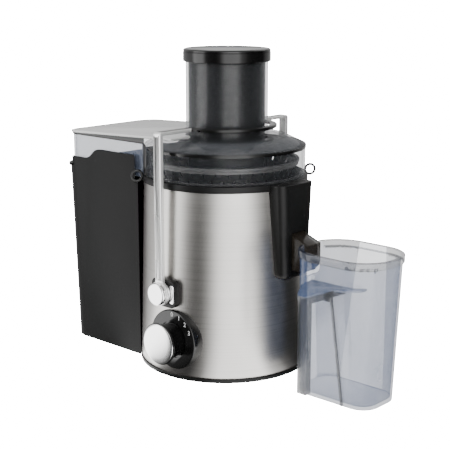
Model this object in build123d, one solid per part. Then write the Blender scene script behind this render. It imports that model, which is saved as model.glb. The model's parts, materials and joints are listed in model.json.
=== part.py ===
from build123d import *
import math
import os

# Centrifugal juicer, millimetres, +Z up.
# Every piece is made about the motor axis, at the height of the surface that the juicer stands on.
# On writing, all are moved together, so that the origin is the centre of the object's footprint.
# +X points to the spout and the jug, -X to the pulp container, -Y to the speed knob.

os.makedirs("parts", exist_ok=True)

# ------------------------------------------------------------------ driving dimensions
# Clearances
running_gap = 0.3        # between pieces of different bodies
seat_gap = 0.1           # between a piece and the seat that carries it
bearing_gap = 0.05       # radial running fit of a shaft in a bore
cut_reach = 400.0        # size of a cutting tool that reaches past the whole object

# Base
foot_height = 3.0
foot_radius = 8.0
foot_ring_radius = 64.0
screw_radius = 1.8
screw_head_radius = 3.4
screw_length = 16.0
base_height = 4.0
base_radius = 86.5
base_wall = 2.5

# Steel body
sleeve_bottom_radius = 85.5
sleeve_top_radius = 80.8
sleeve_height = 181.0
sleeve_thickness = 0.8

# Cord inlet
cord_inlet_radius = 9.0
cord_inlet_z = 22.0

# Inner motor housing
housing_wall = 2.4
deck_thickness = 3.0

# Motor
shaft_radius = 4.0
bearing_radius = 11.0
bearing_height = 7.0
upper_bearing_drop = 12.0    # from the deck, which the motor hangs from
lower_bearing_drop = 118.0
core_radius = 23.0
core_height = 44.0
core_drop = 88.0
air_gap = 1.0
field_radius = 42.0
field_height = 46.0
commutator_radius = 12.0
commutator_height = 13.0
commutator_drop = 108.0
brush_length = 10.0
fan_radius = 37.0
fan_height = 12.0
fan_drop = 33.0
fan_blades = 11
bracket_thickness = 3.0
bolt_offset = 46.0
bolt_radius = 2.0

# Collecting bowl and spout
bowl_band_height = 6.0
bowl_band_radius = 82.5
bowl_wall = 2.4
bowl_depth = 31.0        # of the bowl's floor, below the top of the steel body
bowl_lift = 1.6          # of the bowl's pot above the deck
ear_angle = 55.0         # of the bowl's two loops, from +X
bowl_clear = 1.2         # between the bowl's pot and the motor housing's wall
collar_radius = 15.0
collar_height = 10.0
spout_top_half_width = 24.0
spout_bottom_half_width = 18.0
spout_corner = 8.0
spout_wall = 2.6
spout_reach = 95.0
spout_height = 92.0
spout_bottom_round = 6.0
outlet_half_width = 13.0
outlet_depth = 3.0       # the outlet's floor lies this far under the bowl's
outlet_setback = 5.0     # of the outlet's end from the spout's face
nozzle_half_width = 10.0
nozzle_proud = 24.0
nozzle_round = 10.0      # of the nozzle's lower front edge
nozzle_drop = 82.0       # of the nozzle's underside from the spout's top
nozzle_height = 36.0
nozzle_wall = 2.0

# Filter basket
coupling_radius = 10.0
coupling_rise = 21.0     # of the coupling's top above the bowl's floor
basket_lift = 14.0       # of the basket above the bowl's floor
basket_bottom_radius = 54.0
basket_height = 36.0
basket_top_radius = 70.0
basket_rim_radius = 74.0
basket_wall = 0.8
mesh_rows = 4
mesh_slots = 36
grater_thickness = 1.2
grater_teeth_rings = 3

# Lid, chute and pusher
lid_radius = 80.0
lid_wall = 2.0
lid_skirt_height = 29.5
lid_dome_rise = 8.5
lid_shoulder_radius = 62.0
lid_band_height = 3.0
lid_band_proud = 0.5
chute_radius = 40.5
chute_wall = 2.5
chute_length = 110.0
chute_offset = 2.5       # the chute stands a little towards the spout
pusher_gap = 0.5
pusher_wall = 2.5
pusher_lift = 2.0        # of the pusher's foot above the chute's lower edge
cap_radius = 43.0
cap_height = 12.5

# Hood over the pulp container
hood_end_x = -172.0
hood_half_width = 60.0
hood_wall = 2.0
hood_corner = 17.0
hood_skirt_drop = 4.0    # of the hood's lower edge below the lid's
hood_height = 33.5
hood_plate = 2.4
hood_plate_proud = 2.0
hood_slope = 2.2         # degrees, rising to the chute
hood_plate_limit_x = -9.0
rim_start = 1.2          # thickness of the dark rim at its outer end
post_depth = 2.0
post_reach = 8.5

# Pulp container
pulp_end_x = -175.0
pulp_half_width = 65.0
pulp_corner = 21.0
pulp_wall = 2.4
pulp_side_rise = 18.0    # of the side rim above the lid's lower edge
pulp_low_rise = 7.0      # of the rim's low stretch on each side
pulp_end_drop = 1.0      # of the outer end's rim below the lid's lower edge
pulp_step_x = 15.0       # from the container's outer end to the step in its rim
pulp_curve_start = 36.0
pulp_curve_end = 60.0
pulp_inner_drop = 10.0
pulp_lip = 2.0
pulp_foot_inset = 34.0
pulp_foot_pitch = 28.0
pulp_foot_offset = 38.0
pulp_body_gap = 1.5
pulp_draft = 1.1         # degrees
pulp_foot_height = 3.0

# Locking arm
pivot_x = -0.5
pivot_z = 88.0
pivot_plate_face = 89.0
pivot_plate_width = 31.0
pivot_plate_setback = 14.0   # of the plate's edge behind the pin
tile_margin = 1.5
pivot_plate_height = 27.0
leg_thickness = 4.5
leg_width = 9.5
arm_thickness = 3.5
arm_disc_radius = 12.0
arm_bar_gap = 8.0        # above the lid
arm_bar_inner = 44.5
arm_bar_outer = 51.5
pivot_pin_radius = 4.0
tile_width = 5.5
tile_height = 18.0
tile_depth = 0.8
pivot_cap_radius = 11.0
pivot_cap_height = 4.5

# Knob
knob_x = 10.0
knob_z = 42.5
bezel_radius = 29.5
bezel_face = 86.5
bezel_neck_radius = 24.0
bezel_recess = 2.0
knob_radius = 20.5
knob_base_radius = 16.0
knob_depth = 20.0
knob_cap_radius = 19.5
knob_cap_height = 1.8
spindle_radius = 3.0
switch_half_width = 13.0
switch_face_y = -71.8

# Jug
jug_height = 140.0
jug_gap = 12.0           # between the spout and the jug's rim
jug_top_length = 95.8
jug_bottom_length = 86.0
jug_bottom_setback = 2.4 # of the near wall's foot from its rim
jug_top_half_width = 36.6
jug_bottom_half_width = 27.0
jug_top_corner = 33.0
jug_bottom_corner = 18.0
jug_wall = 2.2
jug_floor = 3.0
jug_rim_height = 7.0
jug_rim_proud = 1.6
handle_reach = 84.0      # of the grip's outer face from the jug's middle
handle_top_z = 117.0
handle_bottom_z = 28.0
handle_thickness = 6.5
handle_start = 29.4      # from the jug's near wall to the handle's root
handle_root = 39.0       # length of the root along the wall
handle_flange = 17.0
flange_thickness = 2.0
grip_setback = 53.4      # from the jug's near wall to the grip
grip_width = 10.0
grip_depth = 7.0
rail_setback = 52.0      # from the jug's near wall to the rail's upper end
rail_lean = 9.0
rail_width = 2.0
rail_top_z = 100.0
rail_bottom_z = 1.0
rail_proud = 2.5
notch_gap = 3.0          # round the nozzle, in the jug's wall

# Worked out from the dimensions above
base_bottom_z = foot_height
sleeve_bottom_z = base_bottom_z + base_height
sleeve_top_z = sleeve_bottom_z + sleeve_height
lid_bottom_z = sleeve_top_z + bowl_band_height
lid_rim_z = lid_bottom_z + lid_skirt_height
lid_top_z = lid_rim_z + lid_dome_rise
bowl_floor_z = sleeve_top_z - bowl_depth
deck_height = bowl_floor_z - bowl_wall - bowl_lift - deck_thickness
collar_top_z = bowl_floor_z + collar_height
coupling_top_z = bowl_floor_z + coupling_rise
basket_bottom_z = bowl_floor_z + basket_lift
basket_top_z = basket_bottom_z + basket_height
upper_bearing_z = deck_height - upper_bearing_drop
lower_bearing_z = deck_height - lower_bearing_drop
core_z = deck_height - core_drop
commutator_z = deck_height - commutator_drop
fan_z = deck_height - fan_drop
shaft_bottom = lower_bearing_z - bracket_thickness
shaft_top_z = coupling_top_z - 6
spout_top_z = lid_bottom_z
spout_bottom_z = spout_top_z - spout_height
outlet_reach = spout_reach - outlet_setback
nozzle_reach = spout_reach + nozzle_proud
nozzle_bottom_z = spout_top_z - nozzle_drop
chute_bottom_z = lid_bottom_z
chute_height = chute_bottom_z + chute_length
pusher_bottom_z = chute_bottom_z + pusher_lift
hood_skirt_z = lid_bottom_z - hood_skirt_drop
hood_top_z = hood_skirt_z + hood_height
pulp_side_rim_z = lid_bottom_z + pulp_side_rise
pulp_low_rim_z = lid_bottom_z + pulp_low_rise
pulp_end_rim_z = lid_bottom_z - pulp_end_drop
pulp_inner_rim_z = lid_bottom_z - pulp_inner_drop
arm_bar_z = lid_top_z + arm_bar_gap
jug_top_x0 = spout_reach + jug_gap + jug_rim_proud
jug_top_x1 = jug_top_x0 + jug_top_length
jug_bottom_x0 = jug_top_x0 + jug_bottom_setback
jug_bottom_x1 = jug_bottom_x0 + jug_bottom_length
outlet_bottom_z = bowl_floor_z - outlet_depth
nozzle_inner_half = nozzle_half_width - nozzle_wall
collar_bore = coupling_radius + 2.0
brush_z = commutator_z + commutator_height / 2
knob_seat_y = -bezel_face + bezel_recess - running_gap
knob_front_y = knob_seat_y - knob_depth
leg_inner_y = pivot_plate_face + running_gap
leg_outer_y = leg_inner_y + leg_thickness
pivot_cap_y = leg_outer_y + seat_gap + pivot_cap_height
rim_lean = math.tan(math.radians(pulp_draft)) * (pulp_side_rim_z - pulp_end_rim_z)
pulp_lip_x = pulp_end_x + rim_lean - pulp_lip

# The row's origin: the centre of the object's footprint. Pieces are made about the motor axis and moved at the end.
centre_x = (pulp_lip_x + jug_top_x1 + jug_rim_proud) / 2
centre_y = (knob_front_y - knob_cap_height + pivot_cap_y) / 2


# ------------------------------------------------------------------ helpers
def disc(radius, z0, z1, x=0.0, y=0.0):
    return Pos(x, y, z0) * Cylinder(radius, z1 - z0, align=(Align.CENTER, Align.CENTER, Align.MIN))


def tube(outer, inner, z0, z1, x=0.0, y=0.0):
    return disc(outer, z0, z1, x, y) - disc(inner, z0 - 1, z1 + 1, x, y)


def frustum(r0, r1, z0, z1):
    return Pos(0, 0, z0) * Cone(r0, r1, z1 - z0, align=(Align.CENTER, Align.CENTER, Align.MIN))


def block(x0, x1, y0, y1, z0, z1):
    size = (x1 - x0, y1 - y0, z1 - z0)
    return Pos(x0, y0, z0) * Box(*size, align=(Align.MIN, Align.MIN, Align.MIN))


def side_rod(radius, y0, y1, x, z):
    """A rod along Y, from y0 to y1."""
    rod = Cylinder(radius, y1 - y0, align=(Align.CENTER, Align.CENTER, Align.MIN))
    return Pos(x, y0, z) * Rot(-90, 0, 0) * rod


def rounded_plan(x0, x1, half_width, corner, z):
    """A rounded rectangle lying at height z."""
    plan = RectangleRounded(x1 - x0, 2 * half_width, corner)
    return Pos((x0 + x1) / 2, 0, z) * plan


def around(piece, count, start=0.0):
    """Copies of a piece evenly spaced round the motor axis."""
    return [Rot(0, 0, start + 360 * i / count) * piece for i in range(count)]


def sleeve_radius_at(z):
    share = (z - sleeve_bottom_z) / sleeve_height
    return sleeve_bottom_radius + (sleeve_top_radius - sleeve_bottom_radius) * share


def body_cone(clearance):
    """The outside of the steel body, grown by a clearance, over its whole height."""
    return frustum(
        sleeve_bottom_radius + clearance, sleeve_top_radius + clearance, sleeve_bottom_z, sleeve_top_z
    )


def group(pieces):
    return Compound(children=[p for item in pieces for p in item.solids()])


parts = {}


# ------------------------------------------------------------------ base
def make_base_cover():
    cover = disc(base_radius, base_bottom_z, sleeve_bottom_z)
    cover = fillet(cover.edges().group_by(Axis.Z)[0], 1.2)
    inner_radius = sleeve_bottom_radius - sleeve_thickness - housing_wall - seat_gap
    cover += tube(inner_radius - housing_wall, inner_radius - 2 * housing_wall, sleeve_bottom_z, sleeve_bottom_z + 6)
    vent = block(-16, 16, -1.5, 1.5, base_bottom_z - 1, sleeve_bottom_z + 1)
    for i in range(5):
        cover -= Pos(0, (i - 2) * 6, 0) * vent
    foot_screw = disc(screw_radius + seat_gap, base_bottom_z - 1, sleeve_bottom_z + 7)
    for hole in around(Pos(foot_ring_radius, 0, 0) * foot_screw, 4, 45):
        cover -= hole
    return cover


def make_feet():
    foot = disc(foot_radius, 0, foot_height)
    foot = fillet(foot.edges().group_by(Axis.Z)[0], 1.0)
    foot -= disc(screw_head_radius + seat_gap, 0.6, foot_height + 1)
    return group(around(Pos(foot_ring_radius, 0, 0) * foot, 4, 45))


def make_base_screws():
    screw = disc(screw_head_radius, 1.0, foot_height) + disc(screw_radius, foot_height, foot_height + screw_length)
    return group(around(Pos(foot_ring_radius, 0, 0) * screw, 4, 45))


# ------------------------------------------------------------------ steel body and motor housing
def knob_bore(radius):
    return side_rod(radius, -base_radius - 20, -40, knob_x, knob_z)


def spout_notch(grow):
    """The gap in the steel body and the motor housing that the bowl's outlet passes through."""
    half = outlet_half_width + grow
    return block(40, base_radius + 5, -half, half, outlet_bottom_z - grow, sleeve_top_z + 20)


def make_steel_sleeve():
    sleeve = body_cone(0) - frustum(
        sleeve_bottom_radius - sleeve_thickness,
        sleeve_top_radius - sleeve_thickness,
        sleeve_bottom_z,
        sleeve_top_z,
    )
    sleeve -= knob_bore(bezel_neck_radius + seat_gap)
    sleeve -= spout_notch(1.0)
    sleeve -= side_rod(cord_inlet_radius + seat_gap, 60, 100, 0, cord_inlet_z)
    for side in (-1, 1):
        y0, y1 = sorted((side * 60, side * 100))
        sleeve -= side_rod(pivot_pin_radius + 2.0, y0, y1, pivot_x, pivot_z)
    return sleeve


def make_motor_housing():
    outer_low = sleeve_bottom_radius - sleeve_thickness - seat_gap
    outer_top = sleeve_top_radius - sleeve_thickness - seat_gap
    shell = frustum(outer_low, outer_top, sleeve_bottom_z, sleeve_top_z)
    shell -= frustum(outer_low - housing_wall, outer_top - housing_wall, sleeve_bottom_z, sleeve_top_z)
    shell -= knob_bore(bezel_neck_radius + seat_gap)
    shell -= spout_notch(1.0)
    shell -= side_rod(cord_inlet_radius + seat_gap, 60, 100, 0, cord_inlet_z)
    for side in (-1, 1):
        y0, y1 = sorted((side * 60, side * 100))
        shell -= side_rod(pivot_pin_radius + 2.0, y0, y1, pivot_x, pivot_z)
    return shell


def make_motor_deck():
    """The deck over the motor, and the four posts that it stands on."""
    radius = sleeve_radius_at(deck_height + deck_thickness) - sleeve_thickness - seat_gap - housing_wall - seat_gap
    deck = disc(radius, deck_height, deck_height + deck_thickness)
    deck -= disc(bearing_radius + seat_gap + 2.0, deck_height - 1, deck_height + deck_thickness + 1)
    boss = disc(screw_head_radius + 2, sleeve_bottom_z + 0.2, deck_height)
    boss -= disc(screw_radius + seat_gap, sleeve_bottom_z, sleeve_bottom_z + screw_length + 2)
    for post in around(Pos(foot_ring_radius, 0, 0) * boss, 4, 45):
        deck += post
    return deck


def make_cord_inlet():
    face_y = sleeve_radius_at(cord_inlet_z)
    gland = side_rod(cord_inlet_radius, face_y - 6, face_y + 1.5, 0, cord_inlet_z)
    gland += side_rod(cord_inlet_radius + 3, face_y + 0.3, face_y + 3, 0, cord_inlet_z)
    gland -= side_rod(3.6, face_y - 10, face_y + 10, 0, cord_inlet_z)
    return gland


# ------------------------------------------------------------------ motor
def make_lower_bearing():
    return tube(bearing_radius, shaft_radius + bearing_gap, lower_bearing_z, lower_bearing_z + bearing_height)


def make_upper_bearing():
    return tube(bearing_radius, shaft_radius + bearing_gap, upper_bearing_z, upper_bearing_z + bearing_height)


def bracket(z0, cup_z0, cup_z1):
    """A motor end bracket: a bridge across the field core with a cup for the bearing."""
    plate = block(-52, 52, -15, 15, z0, z0 + bracket_thickness)
    plate += disc(bearing_radius + 3, min(z0, cup_z0), max(z0 + bracket_thickness, cup_z1))
    plate -= disc(bearing_radius + seat_gap / 2, cup_z0, cup_z1 + 1)
    plate -= disc(shaft_radius + 2, cup_z0 - 5, cup_z1 + 5)
    for x in (-bolt_offset, bolt_offset):
        plate -= disc(bolt_radius + seat_gap, z0 - 1, z0 + bracket_thickness + 1, x)
    return plate


field_z = core_z + core_height / 2 - field_height / 2
lower_bracket_z = lower_bearing_z - bracket_thickness
upper_bracket_z = upper_bearing_z - bracket_thickness


def make_lower_bracket():
    return bracket(lower_bracket_z, lower_bearing_z, lower_bearing_z + bearing_height)


def make_upper_bracket():
    return bracket(upper_bracket_z, upper_bearing_z, upper_bearing_z + bearing_height)


def make_field_core():
    core = disc(field_radius, field_z, field_z + field_height)
    core &= block(-field_radius - 8, field_radius + 8, -34, 34, field_z, field_z + field_height)
    ears = block(-bolt_offset - 6, bolt_offset + 6, -8, 8, field_z, field_z + field_height)
    core += ears
    core -= disc(core_radius + air_gap, field_z - 1, field_z + field_height + 1)
    for side in (-1, 1):
        y0, y1 = sorted((side * 25.5, side * 31.5))
        core -= block(-17, 17, y0, y1, field_z - 1, field_z + field_height + 1)
    for x in (-bolt_offset, bolt_offset):
        core -= disc(bolt_radius + seat_gap, field_z - 1, field_z + field_height + 1, x)
    return core


def make_field_coils():
    coils = []
    for side in (-1, 1):
        y0, y1 = sorted((side * 26.0, side * 31.0))
        coil = block(-16.5, 16.5, y0, y1, field_z - 8, field_z + field_height + 8)
        coils.append(fillet(coil.edges().filter_by(Axis.Y), 5))
    return group(coils)


def make_motor_bolts():
    bolts = []
    head_top = upper_bracket_z + bracket_thickness
    for x in (-bolt_offset, bolt_offset):
        bolt = disc(bolt_radius, lower_bracket_z, head_top, x)
        bolt += disc(bolt_radius + 1.8, head_top, head_top + 2.2, x)
        spacer_low = tube(3.6, bolt_radius - 0.1, lower_bracket_z + bracket_thickness, field_z, x)
        spacer_top = tube(3.6, bolt_radius - 0.1, field_z + field_height, upper_bracket_z, x)
        bolts.append(bolt + spacer_low + spacer_top)
    return group(bolts)


def make_motor_mounts():
    """Rubber bushes between the upper bracket and the deck."""
    mounts = []
    top = upper_bracket_z + bracket_thickness
    for x in (-36, 36):
        for y in (-9, 9):
            mounts.append(disc(5.0, top, deck_height, x, y))
    return group(mounts)


def make_brush_holders():
    holders = []
    z = brush_z
    for side in (-1, 1):
        y0, y1 = sorted((side * (commutator_radius + 4), side * (commutator_radius + 22)))
        holder = block(-5, 5, y0, y1, lower_bracket_z + bracket_thickness, z + 4)
        holder -= block(-3.1, 3.1, y0 - 1, y1 + 1, z - 3.1, z + 3.1)
        holders.append(holder)
    return group(holders)


def make_carbon_brushes():
    brushes = []
    z = brush_z
    start = commutator_radius + 0.3
    for side in (-1, 1):
        y0, y1 = sorted((side * start, side * (start + brush_length)))
        brushes.append(block(-3, 3, y0, y1, z - 3, z + 3))
    return group(brushes)


def make_motor_shaft():
    return disc(shaft_radius, shaft_bottom, shaft_top_z)


def make_armature():
    core = disc(core_radius, core_z, core_z + core_height)
    slot = block(core_radius - 6, core_radius + 1, -1.4, 1.4, core_z - 1, core_z + core_height + 1)
    for cut in around(slot, 12):
        core -= cut
    core += disc(core_radius - 5, core_z - 5, core_z + core_height + 5)
    return core - disc(shaft_radius, core_z - 6, core_z + core_height + 6)


def make_commutator():
    body = disc(commutator_radius, commutator_z, commutator_z + commutator_height)
    slot = block(commutator_radius - 1.2, commutator_radius + 1, -0.3, 0.3, commutator_z + 1, commutator_z + 20)
    for cut in around(slot, 24):
        body -= cut
    return body - disc(shaft_radius, commutator_z - 1, commutator_z + commutator_height + 1)


def make_cooling_fan():
    hub = disc(9, fan_z, fan_z + fan_height)
    fan = hub + disc(fan_radius, fan_z, fan_z + 1.6)
    blade = block(7, fan_radius - 0.5, -0.8, 0.8, fan_z, fan_z + fan_height)
    for item in around(blade, fan_blades):
        fan += item
    return fan - disc(shaft_radius, fan_z - 1, fan_z + fan_height + 1)


# ------------------------------------------------------------------ bowl and spout
def pot_radius(z):
    """Inside radius of the motor housing's upper chamber, less the bowl's clearance."""
    return sleeve_radius_at(z) - sleeve_thickness - seat_gap - housing_wall - bowl_clear


def make_filter_bowl():
    top = lid_bottom_z
    pot = frustum(pot_radius(bowl_floor_z - bowl_wall), pot_radius(sleeve_top_z), bowl_floor_z - bowl_wall, sleeve_top_z)
    pot += disc(bowl_band_radius, sleeve_top_z, top)
    pot -= frustum(
        pot_radius(bowl_floor_z) - bowl_wall, pot_radius(sleeve_top_z) - bowl_wall, bowl_floor_z, sleeve_top_z
    )
    pot -= disc(pot_radius(sleeve_top_z) - bowl_wall, sleeve_top_z - 0.01, top + 1)
    pot += disc(collar_radius, bowl_floor_z - 0.5, collar_top_z)
    pot += block(
        pot_radius(outlet_bottom_z) - 8, outlet_reach, -outlet_half_width, outlet_half_width,
        outlet_bottom_z, sleeve_top_z,
    )
    pot -= disc(pot_radius(bowl_floor_z) - bowl_wall, bowl_floor_z, top + 1) - disc(collar_radius, 0, collar_top_z)
    channel_half = outlet_half_width - bowl_wall
    pot -= block(
        pot_radius(outlet_bottom_z) - 12, outlet_reach - bowl_wall, -channel_half, channel_half,
        bowl_floor_z, sleeve_top_z - bowl_wall,
    )
    pot -= block(
        spout_reach - 11, outlet_reach - bowl_wall, -nozzle_inner_half, nozzle_inner_half,
        outlet_bottom_z - 1, bowl_floor_z + 1,
    )
    pot -= disc(collar_bore, bowl_floor_z - 10, collar_top_z + 1)
    return pot


def spout_section(z, inset):
    share = (z - spout_bottom_z) / (spout_top_z - spout_bottom_z)
    half = spout_bottom_half_width + (spout_top_half_width - spout_bottom_half_width) * share
    return rounded_plan(50, spout_reach - inset, half - inset, spout_corner - inset, z)


def make_spout_housing():
    housing = loft([spout_section(spout_bottom_z, 0), spout_section(spout_top_z, 0)])
    housing = fillet(housing.edges().group_by(Axis.Z)[0], spout_bottom_round)
    floor_z = spout_bottom_z + spout_wall
    ceiling_z = spout_top_z - spout_wall
    housing -= loft([spout_section(floor_z, spout_wall), spout_section(ceiling_z, spout_wall)])
    housing -= body_cone(seat_gap)
    housing -= disc(bowl_band_radius + seat_gap, sleeve_top_z - 1, spout_top_z + 1)
    half = nozzle_half_width + seat_gap
    top = nozzle_bottom_z + nozzle_height
    housing -= block(
        spout_reach - 12, spout_reach + 1, -half, half, nozzle_bottom_z - seat_gap, top + seat_gap
    )
    return housing.solids().sort_by(SortBy.VOLUME)[-1]


def make_spout_nozzle():
    top = nozzle_bottom_z + nozzle_height
    start = spout_reach - 9
    nozzle = block(start, nozzle_reach, -nozzle_half_width, nozzle_half_width, nozzle_bottom_z, top)
    nozzle = fillet(nozzle.edges().filter_by(Axis.Y).group_by(Axis.Z)[0].sort_by(Axis.X)[-1:], nozzle_round)
    hollow = block(
        start + nozzle_wall, nozzle_reach - nozzle_wall, -nozzle_inner_half, nozzle_inner_half,
        nozzle_bottom_z + nozzle_wall, top - nozzle_wall,
    )
    front_edge = hollow.edges().filter_by(Axis.Y).group_by(Axis.Z)[0].sort_by(Axis.X)[-1:]
    nozzle -= fillet(front_edge, nozzle_round - nozzle_wall)
    nozzle -= block(
        start + nozzle_wall, spout_reach - spout_wall, -nozzle_inner_half, nozzle_inner_half,
        top - nozzle_wall - 1, top + 1,
    )
    nozzle -= block(
        spout_reach + 5, nozzle_reach - nozzle_round, -nozzle_inner_half, nozzle_inner_half,
        nozzle_bottom_z - 1, nozzle_bottom_z + nozzle_wall + 1,
    )
    return nozzle


def make_bowl_seal():
    groove_radius = lid_radius - lid_wall - 0.6
    return tube(groove_radius, groove_radius - 1.8, lid_bottom_z, lid_bottom_z + 2.2)


def make_bowl_ears():
    """Two small loops on the bowl's band, on opposite sides."""
    loop_radius = 5.0
    wire_radius = 1.3
    reach = bowl_band_radius + loop_radius + wire_radius - 0.4
    loop = Pos(reach, 0, lid_bottom_z) * Rot(90, 0, 0) * Torus(loop_radius, wire_radius)
    loop -= disc(bowl_band_radius, sleeve_top_z - 20, lid_bottom_z + 20)
    return group([Rot(0, 0, ear_angle + turn) * loop for turn in (0, 180)])


# ------------------------------------------------------------------ rotor: coupling, basket and grater
def make_drive_coupling():
    coupling = disc(coupling_radius, deck_height + deck_thickness + 2, coupling_top_z)
    coupling -= disc(shaft_radius, deck_height, shaft_top_z)
    dog = block(coupling_radius - 3, coupling_radius + 1, -1.6, 1.6, basket_bottom_z - 1, coupling_top_z + 1)
    for cut in around(dog, 6):
        coupling -= cut
    return coupling


def make_basket_base():
    hub_radius = coupling_radius + 4
    base = disc(basket_bottom_radius + 1.5, basket_bottom_z, basket_bottom_z + 2.4)
    base += disc(hub_radius, basket_bottom_z, coupling_top_z + 4)
    base -= disc(coupling_radius + seat_gap, basket_bottom_z - 1, coupling_top_z + 0.3)
    return base


def make_basket_mesh():
    z0 = basket_bottom_z + 2.4
    wall = frustum(basket_bottom_radius + basket_wall, basket_top_radius + basket_wall, z0, basket_top_z)
    wall -= frustum(basket_bottom_radius, basket_top_radius, z0, basket_top_z)
    pitch = (basket_top_z - z0) / (mesh_rows + 0.5)
    for row in range(mesh_rows):
        z = z0 + pitch * (row + 0.45)
        slot = block(basket_bottom_radius - 8, basket_top_radius + 8, -1.0, 1.0, z, z + pitch * 0.6)
        wall -= Compound(children=around(slot, mesh_slots, row * 5))
    return wall


def make_basket_rim():
    rim = tube(basket_rim_radius, basket_top_radius - 0.6, basket_top_z, basket_top_z + 2.6)
    rim += tube(basket_top_radius + basket_wall + 2.2, basket_top_radius + basket_wall + 0.2, basket_top_z - 3, basket_top_z)
    return rim


def make_grater_disc():
    z0 = basket_bottom_z + 2.4
    disc_radius = basket_bottom_radius - 1.0
    plate = tube(disc_radius, coupling_radius + 4 + seat_gap, z0, z0 + grater_thickness)
    for ring in range(grater_teeth_rings):
        radius = disc_radius - 8 - ring * 10
        count = int(radius / 2.2)
        tooth = block(radius - 1.6, radius + 1.6, -0.5, 0.5, z0 + grater_thickness, z0 + grater_thickness + 1.4)
        for item in around(tooth, count, ring * 3):
            plate += item
    return plate


def make_basket_nut():
    z0 = coupling_top_z + 4
    nut = disc(9, z0, z0 + 5)
    return fillet(nut.edges().group_by(Axis.Z)[-1], 2)


# ------------------------------------------------------------------ lid, hood and pusher
def make_lid():
    """Clear lid: skirt, dome and feed chute in one moulding."""
    bottom = lid_bottom_z + running_gap
    with BuildPart() as lid_part:
        with BuildSketch(Plane.XZ):
            with BuildLine():
                Polyline(
                    (lid_radius - lid_wall, bottom),
                    (lid_radius, bottom),
                    (lid_radius, lid_rim_z),
                    (lid_shoulder_radius, lid_top_z),
                    (chute_radius - 8, lid_top_z),
                    (chute_radius - 8, lid_top_z - lid_wall),
                    (lid_shoulder_radius, lid_top_z - lid_wall),
                    (lid_radius - lid_wall, lid_rim_z - lid_wall),
                    close=True,
                )
            make_face()
        revolve(axis=Axis.Z)
    lid = lid_part.part
    lid += disc(chute_radius, chute_bottom_z, chute_height, chute_offset)
    lid -= disc(chute_radius - chute_wall, chute_bottom_z - 1, chute_height + 1, chute_offset)
    mouth_half = hood_half_width - hood_wall - 6
    lid -= block(-lid_radius - 5, -40, -mouth_half, mouth_half, bottom + 3, lid_rim_z - lid_wall)
    under_plate = plate_plan(hood_plate_proud + seat_gap, hood_top_z + rim_start - seat_gap)
    lid -= sloped(extrude(under_plate, lid_dome_rise))
    return lid


def make_lid_band():
    """Dark band round the top edge of the lid's skirt."""
    outer = lid_radius + lid_band_proud
    band = tube(outer, lid_radius + seat_gap / 2, lid_rim_z - lid_band_height, lid_rim_z)
    band_start_y = hood_half_width + post_reach + seat_gap
    return band - block(-lid_radius - 5, 0, -band_start_y, band_start_y, 0, chute_height)


def hood_plan(grow, z):
    return rounded_plan(hood_end_x - grow, 0, hood_half_width + grow, hood_corner + grow, z)


def make_pulp_hood():
    """Clear hood that leads the pulp from the lid down into the container."""
    outer = extrude(hood_plan(0, hood_skirt_z), hood_top_z - hood_skirt_z)
    inner = extrude(hood_plan(-hood_wall, hood_skirt_z - 1), hood_top_z - hood_skirt_z + 2)
    hood = outer - inner
    hood -= disc(lid_radius + seat_gap, hood_skirt_z - 5, hood_top_z + 5)
    hood -= block(-40, 5, -100, 100, hood_skirt_z - 5, hood_top_z + 5)
    hood -= disc(bowl_band_radius + seat_gap, 0, lid_bottom_z + 1)
    return hood


def plate_plan(grow, z):
    plan = hood_plan(grow, z)
    plan += Pos(0, 0, z) * Circle(lid_shoulder_radius + 3 + grow)
    plan -= Pos(chute_offset, 0, z) * Circle(chute_radius + 0.4)
    keep = Pos(hood_plate_limit_x - cut_reach / 2, 0, z) * Rectangle(cut_reach, cut_reach)
    return plan & keep


def sloped(piece):
    """Tilts a piece about the hood's outer end, so that it rises towards the chute."""
    return Pos(hood_end_x, 0, hood_top_z) * Rot(0, -hood_slope, 0) * Pos(-hood_end_x, 0, -hood_top_z) * piece


def make_hood_top():
    plate = extrude(plate_plan(hood_plate_proud, hood_top_z + rim_start), hood_plate)
    return sloped(plate)


def make_hood_rim():
    """Dark rim under the edge of the top plate; it grows from the outer end towards the lid."""
    rim = extrude(plate_plan(hood_plate_proud - 1.0, hood_top_z), 14)
    core = extrude(hood_plan(-3.0, hood_top_z - 1), 20)
    rim -= core
    rim -= disc(lid_radius + 0.2, hood_top_z - 2, hood_top_z + 30)
    above = sloped(block(hood_end_x - 30, 60, -140, 140, hood_top_z + rim_start, hood_top_z + 60))
    rim -= above
    # A dark post on each side, where the hood's wall meets the lid's skirt.
    post = tube(lid_radius + post_depth, lid_radius + 0.2, lid_bottom_z + running_gap, hood_top_z + rim_start)
    for side in (-1, 1):
        y0, y1 = sorted((side * (hood_half_width + 0.2), side * (hood_half_width + post_reach)))
        rim += post & block(-lid_radius, -lid_radius / 2, y0, y1, 0, chute_height)
    return rim


def make_pusher_body():
    radius = chute_radius - chute_wall - pusher_gap
    body = disc(radius, pusher_bottom_z, chute_height + 1.5, chute_offset)
    body -= disc(radius - pusher_wall, pusher_bottom_z + 3, chute_height + 3, chute_offset)
    groove = Pos(chute_offset, 0, 0) * block(radius - 0.9, radius + 1, -2.5, 2.5, pusher_bottom_z - 1, chute_height - 6)
    body -= groove
    return body


def make_pusher_cap():
    z0 = chute_height + running_gap
    radius = chute_radius - chute_wall - pusher_gap
    cap = disc(cap_radius, z0, z0 + cap_height, chute_offset)
    cap = fillet(cap.edges().group_by(Axis.Z)[-1], 1.4)
    cap = fillet(cap.edges().group_by(Axis.Z)[0], 2.4)
    cap -= disc(radius + seat_gap, z0 - 1, chute_height + 1.5, chute_offset)
    return cap


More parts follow.
